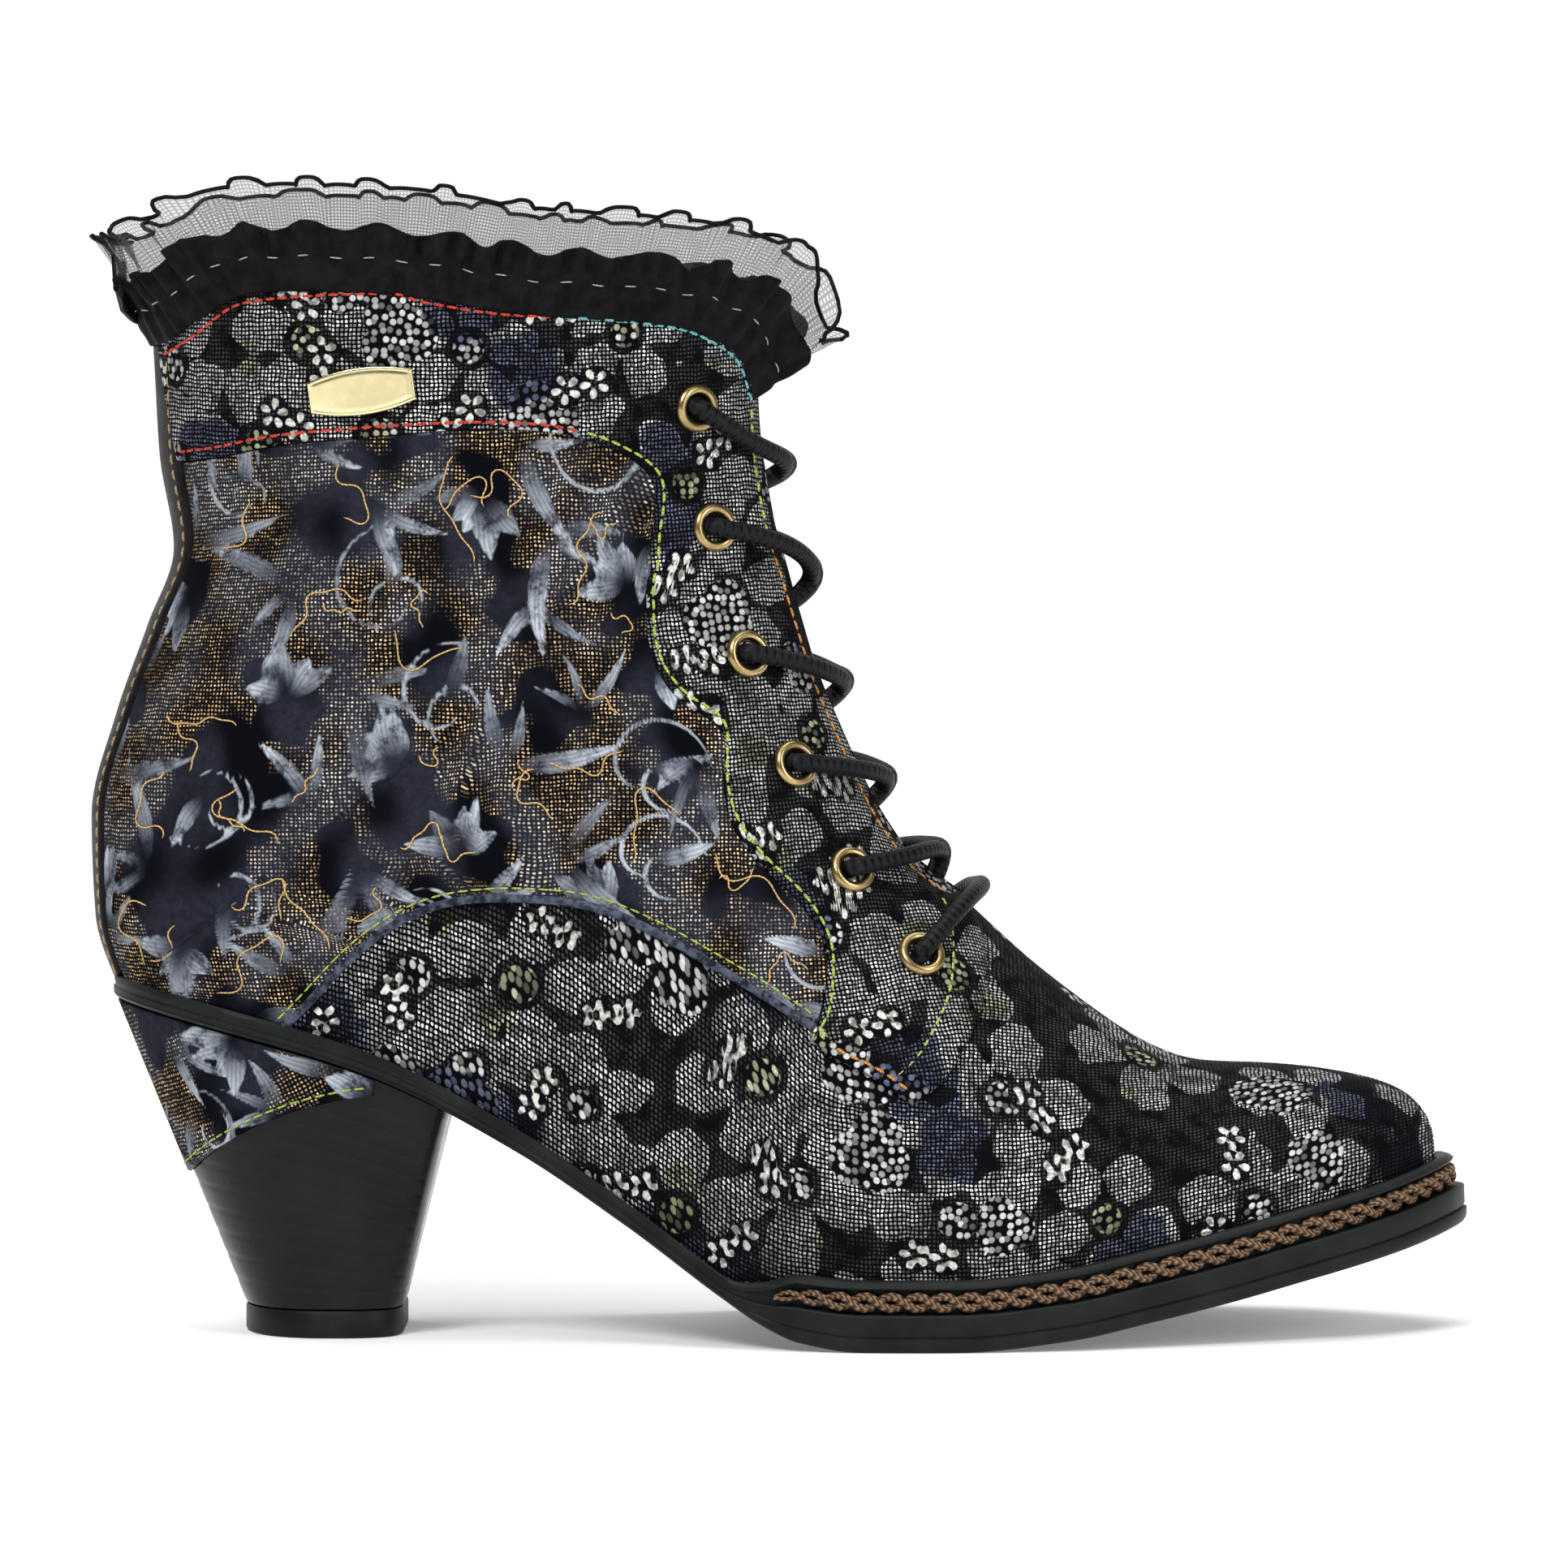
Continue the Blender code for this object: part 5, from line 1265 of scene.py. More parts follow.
def panel(name, places, side, lift, thickness, material, marker, seed, slot, nodes, seam=None):
    """A sheet on the skin over (row, tau) places with rounded, sewn edges."""
    flat, _ = skin(places[..., 0], places[..., 1], side, np.zeros(places.shape[:2]))
    depth = edge_depth(flat)
    height = lift + rounded(depth, thickness)
    if seam:
        height = height - 0.00018 * np.exp(-((depth - seam) / 0.0008)**2)
    points, normals = skin(places[..., 0], places[..., 1], side, height)
    middle = (points.shape[0] // 2, points.shape[1] // 2)
    made = new_piece(name, points, faced(points, normals[middle], *middle), material,
                     unrolled(points, normals), marker(points, normals, seed))
    thicken(made, thickness + 0.0001)
    keep(made, slot, *nodes)
    return points, normals


def stay_patch(side, along=300, across=74):
    """(row, tau) places of the cuff and lacing panel."""
    collar = knots_line(COLLAR[1:], 400, side)
    inside = collar[collar[:, 1] < throat_tau(collar[:, 0])]
    turn = inside[-1]
    split = int(along * 0.52)
    top = inside[np.linspace(0, len(inside) - 1, split).astype(int)]
    throat_rows = np.linspace(turn[0], 9.36, along - split + 1)[1:]
    front = np.stack([throat_rows, throat_tau(throat_rows)], axis=1)
    outer = np.concatenate([top, front])
    knee = 6
    cuff = knots_line(CUFF_EDGE[:knee + 1], split, side)
    below = knots_line(CUFF_EDGE[knee:] + TAB[1:], along - split + 1, side)[1:]
    inner = np.concatenate([cuff, below])
    t = cluster(across, 0.02)
    start = inner[0] * t[:, None] + outer[0] * (1 - t[:, None])
    end_line = knots_line(TAB_FRONT[:5] + ((9.30, 0.985),), across, side)[::-1]
    end = read_line(t, np.linspace(0, 1, across), end_line)
    end[0], end[-1] = outer[-1], inner[-1]
    return blend_patch(outer, inner, start, end, t)


def blend_patch(first, second, start, end, t):
    """(row, tau) places of a patch between four lines, by Coons' rule.

    Blends between first and second, with uneven shares t, and between start
    and end, less the blend of the four corners.
    """
    s = np.linspace(0, 1, len(first))[:, None, None]
    w = t[None, :, None]
    long = (1 - w) * first[:, None] + w * second[:, None]
    cross = (1 - s) * start[None] + s * end[None]
    corner = ((1 - s) * (1 - w) * first[0] + (1 - s) * w * second[0]
              + s * (1 - w) * first[-1] + s * w * second[-1])
    return long + cross - corner


def quarter_patch(side, along=250, across=112):
    """(row, tau) places of the velvety panel, from piped edge to cuff."""
    lower = knots_line(QUARTER_EDGE, along, side)
    upper_edge = knots_line(CUFF_EDGE, along, side)
    t = cluster(across, 0.01)
    rows = lower[0, 0] + (upper_edge[0, 0] - lower[0, 0]) * t
    climbs = np.interp(rows, (14.5, 17.45) + STRIP_ROWS, (0.015, 0.012) + STRIP_CLIMBS)
    start = np.stack([rows, tau_at(rows, climbs, side)], axis=1)
    start[0], start[-1] = lower[0], upper_edge[0]
    end = lower[-1] * (1 - t[:, None]) + upper_edge[-1] * t[:, None]
    return blend_patch(lower, upper_edge, start, end, t)


def make_backstrip():
    """The leather strip up the back seam, on both sides of it."""
    rows = np.linspace(17.3, 24.1, 150)
    climbs = np.interp(rows, (17.3, 18.0) + STRIP_ROWS, (0.010, 0.016) + STRIP_CLIMBS)
    share = np.linspace(0, 1, 12)
    halves = []
    for side in (-1, 1):
        edge = tau_at(rows, climbs, side)
        tau = edge[:, None] * share[None]
        row = np.broadcast_to(rows[:, None], tau.shape)
        seam = upper_point(rows, 0 * edge, side)
        width = np.linalg.norm(upper_point(rows, edge, side) - seam, axis=1)
        height = GAP + rounded((1 - share[None]) * width[:, None], BACKSTRIP_THICKNESS)
        halves.append(skin(row, tau, side, height)[0])
    points = np.concatenate([halves[0][:, ::-1], halves[1][:, 1:]], axis=1)
    made = new_piece("back_strip", points, grid_quads(*points.shape[:2])[:, ::-1], LEATHER)
    thicken(made, BACKSTRIP_THICKNESS + 0.0001)
    keep(made, "backstrip", "backstrip")
    return points


def make_tongue():
    """The tongue under the lacing, a little sunk so that the lace clears it."""
    rows = np.linspace(9.1, 22.0, 90)
    share = np.linspace(-1, 1, 41)
    points = np.zeros((90, 41, 3))
    for side, pick in ((-1, share < 0), (1, share >= 0)):
        tau = 1 - 0.30 * np.abs(share[pick])
        row = np.broadcast_to(rows[:, None], (90, pick.sum()))
        sink = -WALL - GAP - 0.0012 * np.clip((rows - 10) / 3, 0, 1)[:, None] * np.ones_like(row)
        points[:, pick] = skin(row, np.broadcast_to(tau, row.shape), side, sink)[0]
    made = new_piece("tongue_sheet", points, grid_quads(90, 41), LINING)
    thicken(made, TONGUE_THICKNESS)
    keep(made, "lining", "tongue")


make_upper()
make_lining()
PANELS = {}
for side, word in SIDES:
    seed = 41 if side < 0 else 67
    PANELS["quarter", side] = panel(
        f"velvety_quarter_{word}", quarter_patch(side), side, GAP, QUARTER_THICKNESS, VELVET,
        velvet_marks, seed, "quarter", [f"quarter_{word}"])
    PANELS["stay", side] = panel(
        f"brocade_facing_{word}", stay_patch(side), side, GAP, EYESTAY_THICKNESS, BROCADE,
        brocade_marks, seed + 7, "brocade", [f"eyestay_{word}"], seam=0.0022)
STRIP = make_backstrip()
make_tongue()


# Soling

def plan_sides(run, inset, height):
    """The lateral and the medial line of the sole's plan, back to toe."""
    x, half, centre, z = sole_line(run, inset, height)
    return [np.stack([x, centre + side * half, z], axis=1) for side in (-1, 1)]


def ring_stack(run, levels):
    """Rings of the sole's edge: (inset, height) levels round the outline."""
    rings = []
    for inset, height in levels:
        lateral, medial = plan_sides(run, inset, height)
        rings.append(np.concatenate([lateral, medial[1:-1][::-1]]))
    return np.array(rings)


def closed_rings(name, rings, material, slot, *nodes):
    """A closed solid from a stack of rings, each end drawn to its middle."""
    half = rings.shape[1] // 2
    spine = []
    for ring in (rings[0], rings[-1]):
        back = np.concatenate([ring[:1], ring[half + 1:][::-1], ring[half:half + 1]])
        middle = (ring[:half + 1] + back) / 2
        spine.append(np.concatenate([middle, middle[1:-1][::-1]]))
    rings = np.concatenate([spine[0][None], rings, spine[1][None]])
    made = new_piece(name, rings, grid_quads(len(rings), rings.shape[1], wrap=True), material,
                     weld=1e-6, recalc=True)
    made.data.set_sharp_from_angle(angle=math.radians(38))
    return keep(made, slot, *nodes)


def make_outsole():
    """The strip, the forefoot unit with its step line and recess, the lip."""
    run = (1 - np.cos(np.linspace(0, math.pi, 230))) / 2 * 0.6 + np.linspace(0, 1, 230) * 0.4
    slab = slab_height(run)
    recess = recess_depth(run)
    lip = lip_start(run)
    edge = edge_height(run)
    back = lip_setback(run)
    grow = sole_share("build", run)
    soft = 0.0005
    none = 0 * run
    levels = [(EDGE_ROUND + none, none), (0.4 * EDGE_ROUND + none, 0.15 * EDGE_ROUND + none),
              (none, 0.6 * EDGE_ROUND + none)]
    levels += [(-0.00015 * grow, 0.18 * slab + 0.0006), (-0.00015 * grow, 0.36 * slab),
               (0.00035 * grow, 0.36 * slab + 0.0003), (0.0001 * grow, 0.36 * slab + 0.0007),
               (none, slab - 0.5 * soft * grow - 0.0001), (0.4 * soft * grow + 0.0001, slab)]
    levels += [(0.8 * recess, slab + 0.1 * GAP), (recess, slab + 0.5 * soft * grow + 0.0001),
               (recess, lip - 0.4 * soft * grow - 0.0001), (0.9 * recess, lip)]
    levels += [(0.55 * back, lip + 0.1 * GAP), (0.45 * back, lip + 0.2 * (edge - lip)),
               (0.75 * back, edge - 0.3 * (edge - lip)), (back + 0.0003, edge)]
    inner = feather_margin(run)
    levels += [(inner - 0.0008, edge - 0.0001), (inner + 0.0004, edge - 0.0006),
               (inner + 0.0009, floor_height(run) + 0.0002)]
    closed_rings("rubber_sole", ring_stack(run, levels), RUBBER, "rubber", "outsole")


def make_insole():
    """The footbed, with a low rounded rim."""
    run = (1 - np.cos(np.linspace(0, math.pi, 120))) / 2
    low = floor_height(run) + GAP
    inset = feather_margin(run) + WALL + 2 * GAP
    levels = [(inset, low), (inset, low + 0.6 * INSOLE_THICKNESS),
              (inset + 0.0008, low + INSOLE_THICKNESS)]
    closed_rings("footbed", ring_stack(run, levels), FOOTBED, "insole", "insole")


def dense_heel_line(level, out, count=70):
    """The heel's half plan with more points round it."""
    x, width, z = heel_line(level, out)
    fine = np.linspace(0, len(x) - 1, count)
    knots = np.arange(len(x), dtype=float)
    return tuple(monotone(knots, values, fine) for values in (x, width, z))


def both(x, width, z):
    """A closed ring from its lateral half."""
    lateral = np.stack([x, -width, z], axis=1)
    return np.concatenate([lateral, np.stack([x, width, z], axis=1)[1:-1][::-1]])


def make_heel():
    """The stacked block with a shallow line at each layer, and its top lift."""
    rings = []
    tall = HEEL_HEIGHT - LIFT_HEIGHT
    layer = 0.0045
    for level in np.linspace(0, 1, 120):
        line = abs((level * tall / layer) % 1 - 0.5)
        dent = -0.00014 * math.exp(-((0.5 - line) / 0.09)**2)
        rings.append(both(*dense_heel_line(level, dent)))
    closed_rings("stacked_heel", np.array(rings), HEEL_GLOSS, "heel", "heel")
    x, width, _ = dense_heel_line(0.0, 0.0)
    rings = []
    for inset, z in ((0.0006, 0.0), (0.0002, 0.0002), (0.0, 0.0007), (0.0, 0.0043),
                     (0.0003, 0.0049), (0.0009, 0.0050)):
        share = 1 - inset / (LIFT_WIDTH / 2)
        rings.append(both(x * share, width * share, np.full_like(x, z)))
    closed_rings("top_piece", np.array(rings), RUBBER, "rubber", "top_lift")


def make_heel_cover():
    """The velvety cloth over the top of the heel, down to a slanted edge."""
    count = 220
    run = dense_profile("top_run", count)
    pick = run < COVER_FRONT_RUN
    low = COVER_LOW + (0.93 - COVER_LOW) * run / COVER_FRONT_RUN
    rows = []
    for share in cluster(36, 0.03):
        level = low + (0.997 - low) * share
        x, width, z = level_line(level, GAP + COVER_THICKNESS, count)
        half = np.stack([x, -width, z], axis=1)[pick]
        rows.append(np.concatenate([half, half[:-1][::-1] * (1, -1, 1)]))
    points = np.array(rows)
    normals = np.cross(np.gradient(points, axis=1), np.gradient(points, axis=0))
    normals /= np.linalg.norm(normals, axis=2, keepdims=True) + 1e-12
    middle = points.shape[1] // 4
    if normals[20, middle, 1] > 0:
        normals = -normals
    sink = rounded(edge_depth(points), COVER_THICKNESS) - COVER_THICKNESS
    points = points + normals * sink[..., None]
    quads = faced(points, np.array([0, -1.0, 0]), 20, middle)
    made = new_piece("heel_cloth", points, quads, VELVET, unrolled(points, normals),
                     velvet_marks(points, normals, 88))
    thicken(made, COVER_THICKNESS)
    keep(made, "heel_cloth", "heel_cover")
    return points, normals


def dense_profile(name, count):
    """A column of the heel's table read at more places."""
    values = column(HEEL, HEEL_COLUMNS, name)
    knots = np.arange(len(values), dtype=float)
    return monotone(knots, values, np.linspace(0, len(values) - 1, count))


def level_line(level, out, count):
    """The heel's half plan where the level differs from place to place."""
    at = np.linspace(0, len(HEEL) - 1, count)
    knots = np.arange(len(HEEL), dtype=float)
    coarse = np.interp(knots, at, level)
    x, width, z = heel_line(coarse, out)
    return tuple(monotone(knots, values, at) for values in (x, width, z))


make_outsole()
make_insole()
make_heel()
COVER = make_heel_cover()


# Cords, stitches and small pieces

def frames(path, ups):
    """Ways along, out and across at each point of paths, all of unit length."""
    along = np.gradient(path, axis=-2)
    along /= np.linalg.norm(along, axis=-1, keepdims=True) + 1e-12
    across = np.cross(along, ups)
    across /= np.linalg.norm(across, axis=-1, keepdims=True) + 1e-12
    return along, np.cross(across, along), across


def tubes(name, path, ups, radius, material, around=8):
    """Round strings along many paths of equal counts, closed at their ends.

    A ring at each point: radius times (cos a out + sin a across). The UV
    map has the turn across and millimetres along.
    """
    if path.ndim == 2:
        path, ups = path[None], ups[None]
    many, count, _ = path.shape
    _, out, across = frames(path, ups)
    turn = np.linspace(0, 2 * math.pi, around, endpoint=False)
    size = np.broadcast_to(radius, (many, count))[..., None, None]
    ring = (np.cos(turn)[:, None] * out[:, :, None]
            + np.sin(turn)[:, None] * across[:, :, None])
    points = path[:, :, None] + size * ring
    quads = grid_quads(count, around, wrap=True)
    quads = (quads[None] + (np.arange(many) * count * around)[:, None, None]).reshape(-1, 4)
    step = np.linalg.norm(np.diff(path, axis=1), axis=2)
    way = np.concatenate([np.zeros((many, 1)), np.cumsum(step, axis=1)], axis=1) / MM
    uv = np.stack(np.broadcast_arrays(turn / (2 * math.pi), way[..., None]), axis=-1)
    made = new_piece(name, points, quads, material, uv)
    shape = bmesh.new()
    shape.from_mesh(made.data)
    rims = [edge for edge in shape.edges if edge.is_boundary]
    bmesh.ops.holes_fill(shape, edges=rims, sides=around)
    bmesh.ops.recalc_face_normals(shape, faces=shape.faces)
    shape.to_mesh(made.data)
    shape.free()
    return made


def smooth_path(points, count):
    """The natural cubic through points, read at even steps of its length."""
    points = np.asarray(points, dtype=float)
    fine = np.linspace(0, len(points) - 1, 12 * count)
    line = np.stack([spline(points[:, axis], fine) for axis in range(points.shape[1])], axis=1)
    way = travelled(line[:, :3])
    at = np.linspace(0, way[-1], count)
    return read_line(at, way, line)


def on_grid(points, normals, line):
    """Points and normals of a piece's grid along a line of (i, j) places."""
    i, j = line[:, 0], line[:, 1]
    low_i = np.clip(i.astype(int), 0, points.shape[0] - 2)
    low_j = np.clip(j.astype(int), 0, points.shape[1] - 2)
    a, b = (i - low_i)[:, None], (j - low_j)[:, None]
    result = []
    for grid in (points, normals):
        result.append(grid[low_i, low_j] * (1 - a) * (1 - b)
                      + grid[low_i + 1, low_j] * a * (1 - b)
                      + grid[low_i, low_j + 1] * (1 - a) * b
                      + grid[low_i + 1, low_j + 1] * a * b)
    return result


def seam_line(points, normals, edge, distance, low=0.0, high=1.0):
    """A line inside a piece at a distance from one long edge of its grid."""
    rows = np.linspace(low, high, 400) * (points.shape[0] - 1)
    whole = np.clip(np.round(rows).astype(int), 0, points.shape[0] - 1)
    strip = points[whole] if edge == 0 else points[whole, ::-1]
    step = np.linalg.norm(np.diff(strip, axis=1), axis=2)
    way = np.concatenate([np.zeros((400, 1)), np.cumsum(step, axis=1)], axis=1)
    place = np.array([np.interp(distance, one, np.arange(strip.shape[1])) for one in way])
    if edge:
        place = points.shape[1] - 1 - place
    return on_grid(points, normals, np.stack([rows, place], axis=1))


def stitches(name, path, ups, material, slot, pitch=0.0024, length=0.0019, radius=0.00027):
    """A row of thread stitches, each a short string sunk at its two ends.

    Along a stitch the height is rise (1 - t^4) and the radius tapers by
    (1 - t^6)^(1/2), with t from -1 to 1.
    """
    rise = 0.00016
    way = travelled(path)
    count = max(int(way[-1] / pitch), 1)
    t = np.linspace(-1, 1, 7)
    at = (np.arange(count)[:, None] + 0.5) * way[-1] / count + t[None] * length / 2
    out = unit(read_line(at, way, ups))
    centre = read_line(at, way, path) + out * (rise * (1 - t**4) - 0.4 * rise)[None, :, None]
    size = radius * np.sqrt(1 - 0.9 * t**6)
    made = tubes(name, centre, out, size[None], material, around=6)
    return keep(made, slot)


def part_of(line, low, high):
    """The stretch of a line of points between two shares of its count."""
    count = len(line[0])
    pick = slice(int(low * count), max(int(high * count), int(low * count) + 2))
    return line[0][pick], line[1][pick]


def make_seams():
    """The coloured seams of both sides."""
    for side, word in SIDES:
        points, normals = PANELS["stay", side]
        top = seam_line(points, normals, 0, 0.0040)
        bottom = seam_line(points, normals, 1, 0.0022)
        for name, line, low, high, thread in (
                ("collar", top, 0.015, 0.34, RED), ("corner", top, 0.345, 0.53, TEAL),
                ("facing", top, 0.535, 0.73, LIME), ("throat", top, 0.735, 0.985, ORANGE),
                ("cuff", bottom, 0.01, 0.45, RED), ("stay", bottom, 0.455, 0.93, LIME),
                ("tab", bottom, 0.935, 0.99, ORANGE)):
            stitches(f"{name}_seam_{word}", *part_of(line, low, high), thread, "brocade")
        end = [points[-3, 3:-6], normals[-3, 3:-6]]
        inner = end[0] + (points[-12, 3:-6] - end[0]) * 0.5
        stitches(f"tab_end_seam_{word}", inner, end[1], LIME if side < 0 else TEAL, "brocade")
        points, normals = PANELS["quarter", side]
        line = seam_line(points, normals, 0, 0.0024, 0.01, 0.97)
        stitches(f"quarter_seam_{word}", *line, LIME, "quarter", radius=0.00018)
        edge = seam_line(points, normals, 0, 0.0001)
        path = edge[0] + edge[1] * 0.0001
        made = tubes(f"piping_{word}", path, edge[1], 0.00085, PIPING, around=10)
        keep(made, "quarter")
    for column_of, word in ((2, "lateral"), (-3, "medial")):
        path = STRIP[:, column_of]
        ups = unit(np.stack([path[:, 0] - 0.02, path[:, 1], 0 * path[:, 2]], axis=1))
        stitches(f"strip_seam_{word}", path, ups, TAN, "backstrip", pitch=0.0028)
    points, normals = COVER
    flat = seam_line(points.transpose(1, 0, 2), normals.transpose(1, 0, 2), 0, 0.0022, 0.01, 0.99)
    stitches("cover_seam", *flat, LIME, "heel_cloth", radius=0.00018)


def panel_tree(side, key):
    """A search tree of a panel's outer face."""
    points, _ = PANELS[key, side]
    quads = grid_quads(*points.shape[:2])
    return BVHTree.FromPolygons(points.reshape(-1, 3).tolist(), quads.tolist())


def squiggle(draw, x, z):
    """A short wandering line in the side view, in metres.

    Its heading is a random start plus a sum of two sines of the way along.
    """
    length = draw.uniform(8, 24) * MM
    t = np.linspace(0, 1, 26)
    turn = 2 * math.pi * t
    heading = draw.uniform(0, FULL_TURN)
    heading = heading + draw.uniform(0.6, 1.8) * np.sin(turn * draw.uniform(0.4, 1.1))
    heading += draw.uniform(0.2, 0.7) * np.sin(turn * draw.uniform(2, 3) + draw.uniform(0, 6))
    step = length / 25
    return (x * MM + np.cumsum(np.cos(heading)) * step, z * MM + np.cumsum(np.sin(heading)) * step)


def make_gold_cords():
    """Thin gold cords couched on the velvety panels in wandering lines."""
    for side, word in SIDES:
        tree = panel_tree(side, "quarter")
        centres, draw = spread((-34, 66), (84, 158), 16.5, 301 + side, 0.4)
        paths, ups = [], []
        for place in centres:
            x, z = squiggle(draw, *place)
            hits = [tree.ray_cast(Vector((float(a), side * 0.2, float(b))), Vector((0, -side, 0)))
                    for a, b in zip(x, z)]
            if any(hit[0] is None for hit in hits):
                continue
            normal = np.array([hit[1][:] for hit in hits])
            normal *= np.sign(normal[:, 1:2] * side)
            paths.append(np.array([hit[0][:] for hit in hits]) + normal * 0.00012)
            ups.append(normal)
        knob = 1 + 0.14 * np.sin(np.arange(26) * 2.2)
        ends = np.clip(np.minimum(np.arange(26), 25 - np.arange(26)) / 2 + 0.35, 0, 1)
        made = tubes(f"gold_cords_{word}", np.array(paths), np.array(ups),
                     0.00015 * (knob * ends)[None], GOLD_CORD, around=6)
        keep(made, "quarter")


def eyelet_place(index, side):
    """Centre and outward way of an eyelet on the facing's outer face."""
    row, climb = EYELETS[index]
    tau = tau_at(row, climb, side)
    point, normal = skin(np.array([row]), tau, side, np.array([GAP + EYESTAY_THICKNESS]))
    return point[0], normal[0]


def make_eyelets():
    """Turned brass rings: a rolled flange and a barrel through the facing."""
    hole, outer = EYELET_HOLE / 2, EYELET_WIDTH / 2
    turn = np.linspace(math.pi, 0, 12)
    middle, half = (hole + outer) / 2, (outer - hole) / 2
    roll = [(middle + half * math.cos(a), 0.0002 + 1.15 * MM * math.sin(a)) for a in turn]
    profile = np.array([(hole, -3.2 * MM), (hole, -1.6 * MM)] + roll
                       + [(outer - 0.0003, -0.0002), (hole + 0.0005, -0.0003),
                          (hole + 0.0005, -3.2 * MM)])
    steps = 56
    around = np.linspace(0, 2 * math.pi, steps, endpoint=False)
    for side, word in SIDES:
        for index in range(len(EYELETS)):
            centre, normal = eyelet_place(index, side)
            across = np.cross(normal, (0, 0, 1.0))
            across /= np.linalg.norm(across)
            up = np.cross(across, normal)
            ring = np.cos(around)[:, None] * across + np.sin(around)[:, None] * up
            points = centre + profile[:, :1, None] * ring[None] + profile[:, 1:, None] * normal
            points = np.concatenate([points, points[:1]])
            quads = grid_quads(len(points), steps, wrap=True)
            made = new_piece(f"brass_eyelet_{word}_{index}", points, quads, OLD_BRASS,
                             weld=1e-7, recalc=True)
            keep(made, "eyelet", f"eyelet_{word}_{index}")


def front_skin(row, y, lift):
    """A place over the front of a section, y across from its crest."""
    side = -1 if y < 0 else 1
    part = upper_section(row)
    tau = np.linspace(BELLY_PART, 1, 500)
    _, halves = upper_half(part, tau, side)
    here = np.interp(-abs(y), -halves, tau)
    point, _ = skin(np.array([row]), np.array([here]), side, np.array([lift]))
    return point[0]


def make_lace():
    """One lace through all the eyelets, over each facing and under the next.

    It starts inside the top lateral eyelet, zigzags down to the bar across
    the foot of the throat, and back up to the inside of the top medial one.
    """
    thick = LACE_DIAMETER
    low = len(EYELETS) - 1

    def through(index, side):
        """The three places of the lace in an eyelet, from the inside out."""
        centre, normal = eyelet_place(index, side)
        return [centre + normal * depth * MM for depth in (-4.6, -1.2, 1.5)]

    def crossing(index, side):
        """From an eyelet over its facing and under the other, one lower."""
        row_a, row_b = EYELETS[index][0], EYELETS[index + 1][0]
        above = GAP + EYESTAY_THICKNESS + thick * 0.62
        y_a = eyelet_place(index, side)[0][1]
        y_b = eyelet_place(index + 1, -side)[0][1]
        bias = 0.10 * thick * side
        line = []
        for share, lift in (
                (0.17, above + 0.3 * MM), (0.32, above + 0.6 * MM),
                (0.43, above + 0.2 * MM + bias), (0.54, 0.2 * MM + bias),
                (0.66, -WALL - 0.25 * thick), (0.82, -WALL - 0.5 * thick)):
            row = row_a + (row_b - row_a) * math.sin(math.pi / 2 * min(share / 0.62, 1))
            line.append(front_skin(row, y_a + (y_b - y_a) * share, lift))
        return line

    def zigzag(side):
        """Down from the top eyelet of a side, changing sides at each one."""
        places = []
        for index in range(low):
            places += through(index, side) + crossing(index, side)
            side = -side
        return places + through(low, side)

    row = EYELETS[low][0]
    y = abs(eyelet_place(low, -1)[0][1])
    bar = []
    for share in (0.20, 0.36, 0.5, 0.64, 0.80):
        at = y * (1 - 2 * share)
        lift = GAP + EYESTAY_THICKNESS + thick * 0.62 + 0.6 * MM * math.sin(math.pi * share)
        bar.append(front_skin(row + (BAR_ROW - row) * math.sin(math.pi * share), at or 1e-6, lift))
    knots = np.array(zigzag(-1) + bar + zigzag(1)[::-1])
    path = smooth_path(knots, LACE_STEPS)
    ups = path - np.array([0.02, 0.0, 0.02])
    made = tubes("waxed_lace", path, ups, thick / 2, WAXED, around=14)
    keep(made, "lace", *[f"lace_cross_{index}" for index in range(5)], "lace_bar")


def make_braid():
    """Two twisted strands looped in the recess of the forefoot's edge.

    Each strand lies off the middle line by a sin p up and b cos p out, with p
    growing by a turn every second crossing, half a turn apart.
    """
    run = CORD_START + (1 - CORD_START) * np.sin(np.linspace(0, math.pi / 2, 500))
    inset = recess_depth(run) - 0.35 * BRAID_DIAMETER
    height = (slab_height(run) + lip_start(run)) / 2
    lateral, medial = plan_sides(run, inset, height)
    path = smooth_path(np.concatenate([lateral, medial[::-1][1:]])[::6], CORD_STEPS)
    out = np.stack([path[:, 0] - 0.10, 2.2 * path[:, 1], 0 * path[:, 2]], axis=1)
    _, out, across = frames(path, unit(out))
    way = travelled(path)
    strands, ups = [], []
    grow = np.clip(np.minimum(way, way[-1] - way) / 0.016, 0, 1)
    grow = 0.4 + 0.6 * np.sin(math.pi / 2 * grow)
    for index in range(2):
        phase = 2 * math.pi * (way / CORD_LOOP + index / 2)
        strands.append(path + across * (0.00112 * grow * np.sin(phase))[:, None]
                       + out * (0.00055 * np.cos(phase))[:, None])
        ups.append(out)
    made = tubes("plaited_cord", np.array(strands), np.array(ups), STRAND_RADIUS * grow,
                 BROWN_CORD, around=9)
    keep(made, "braid", "braid")


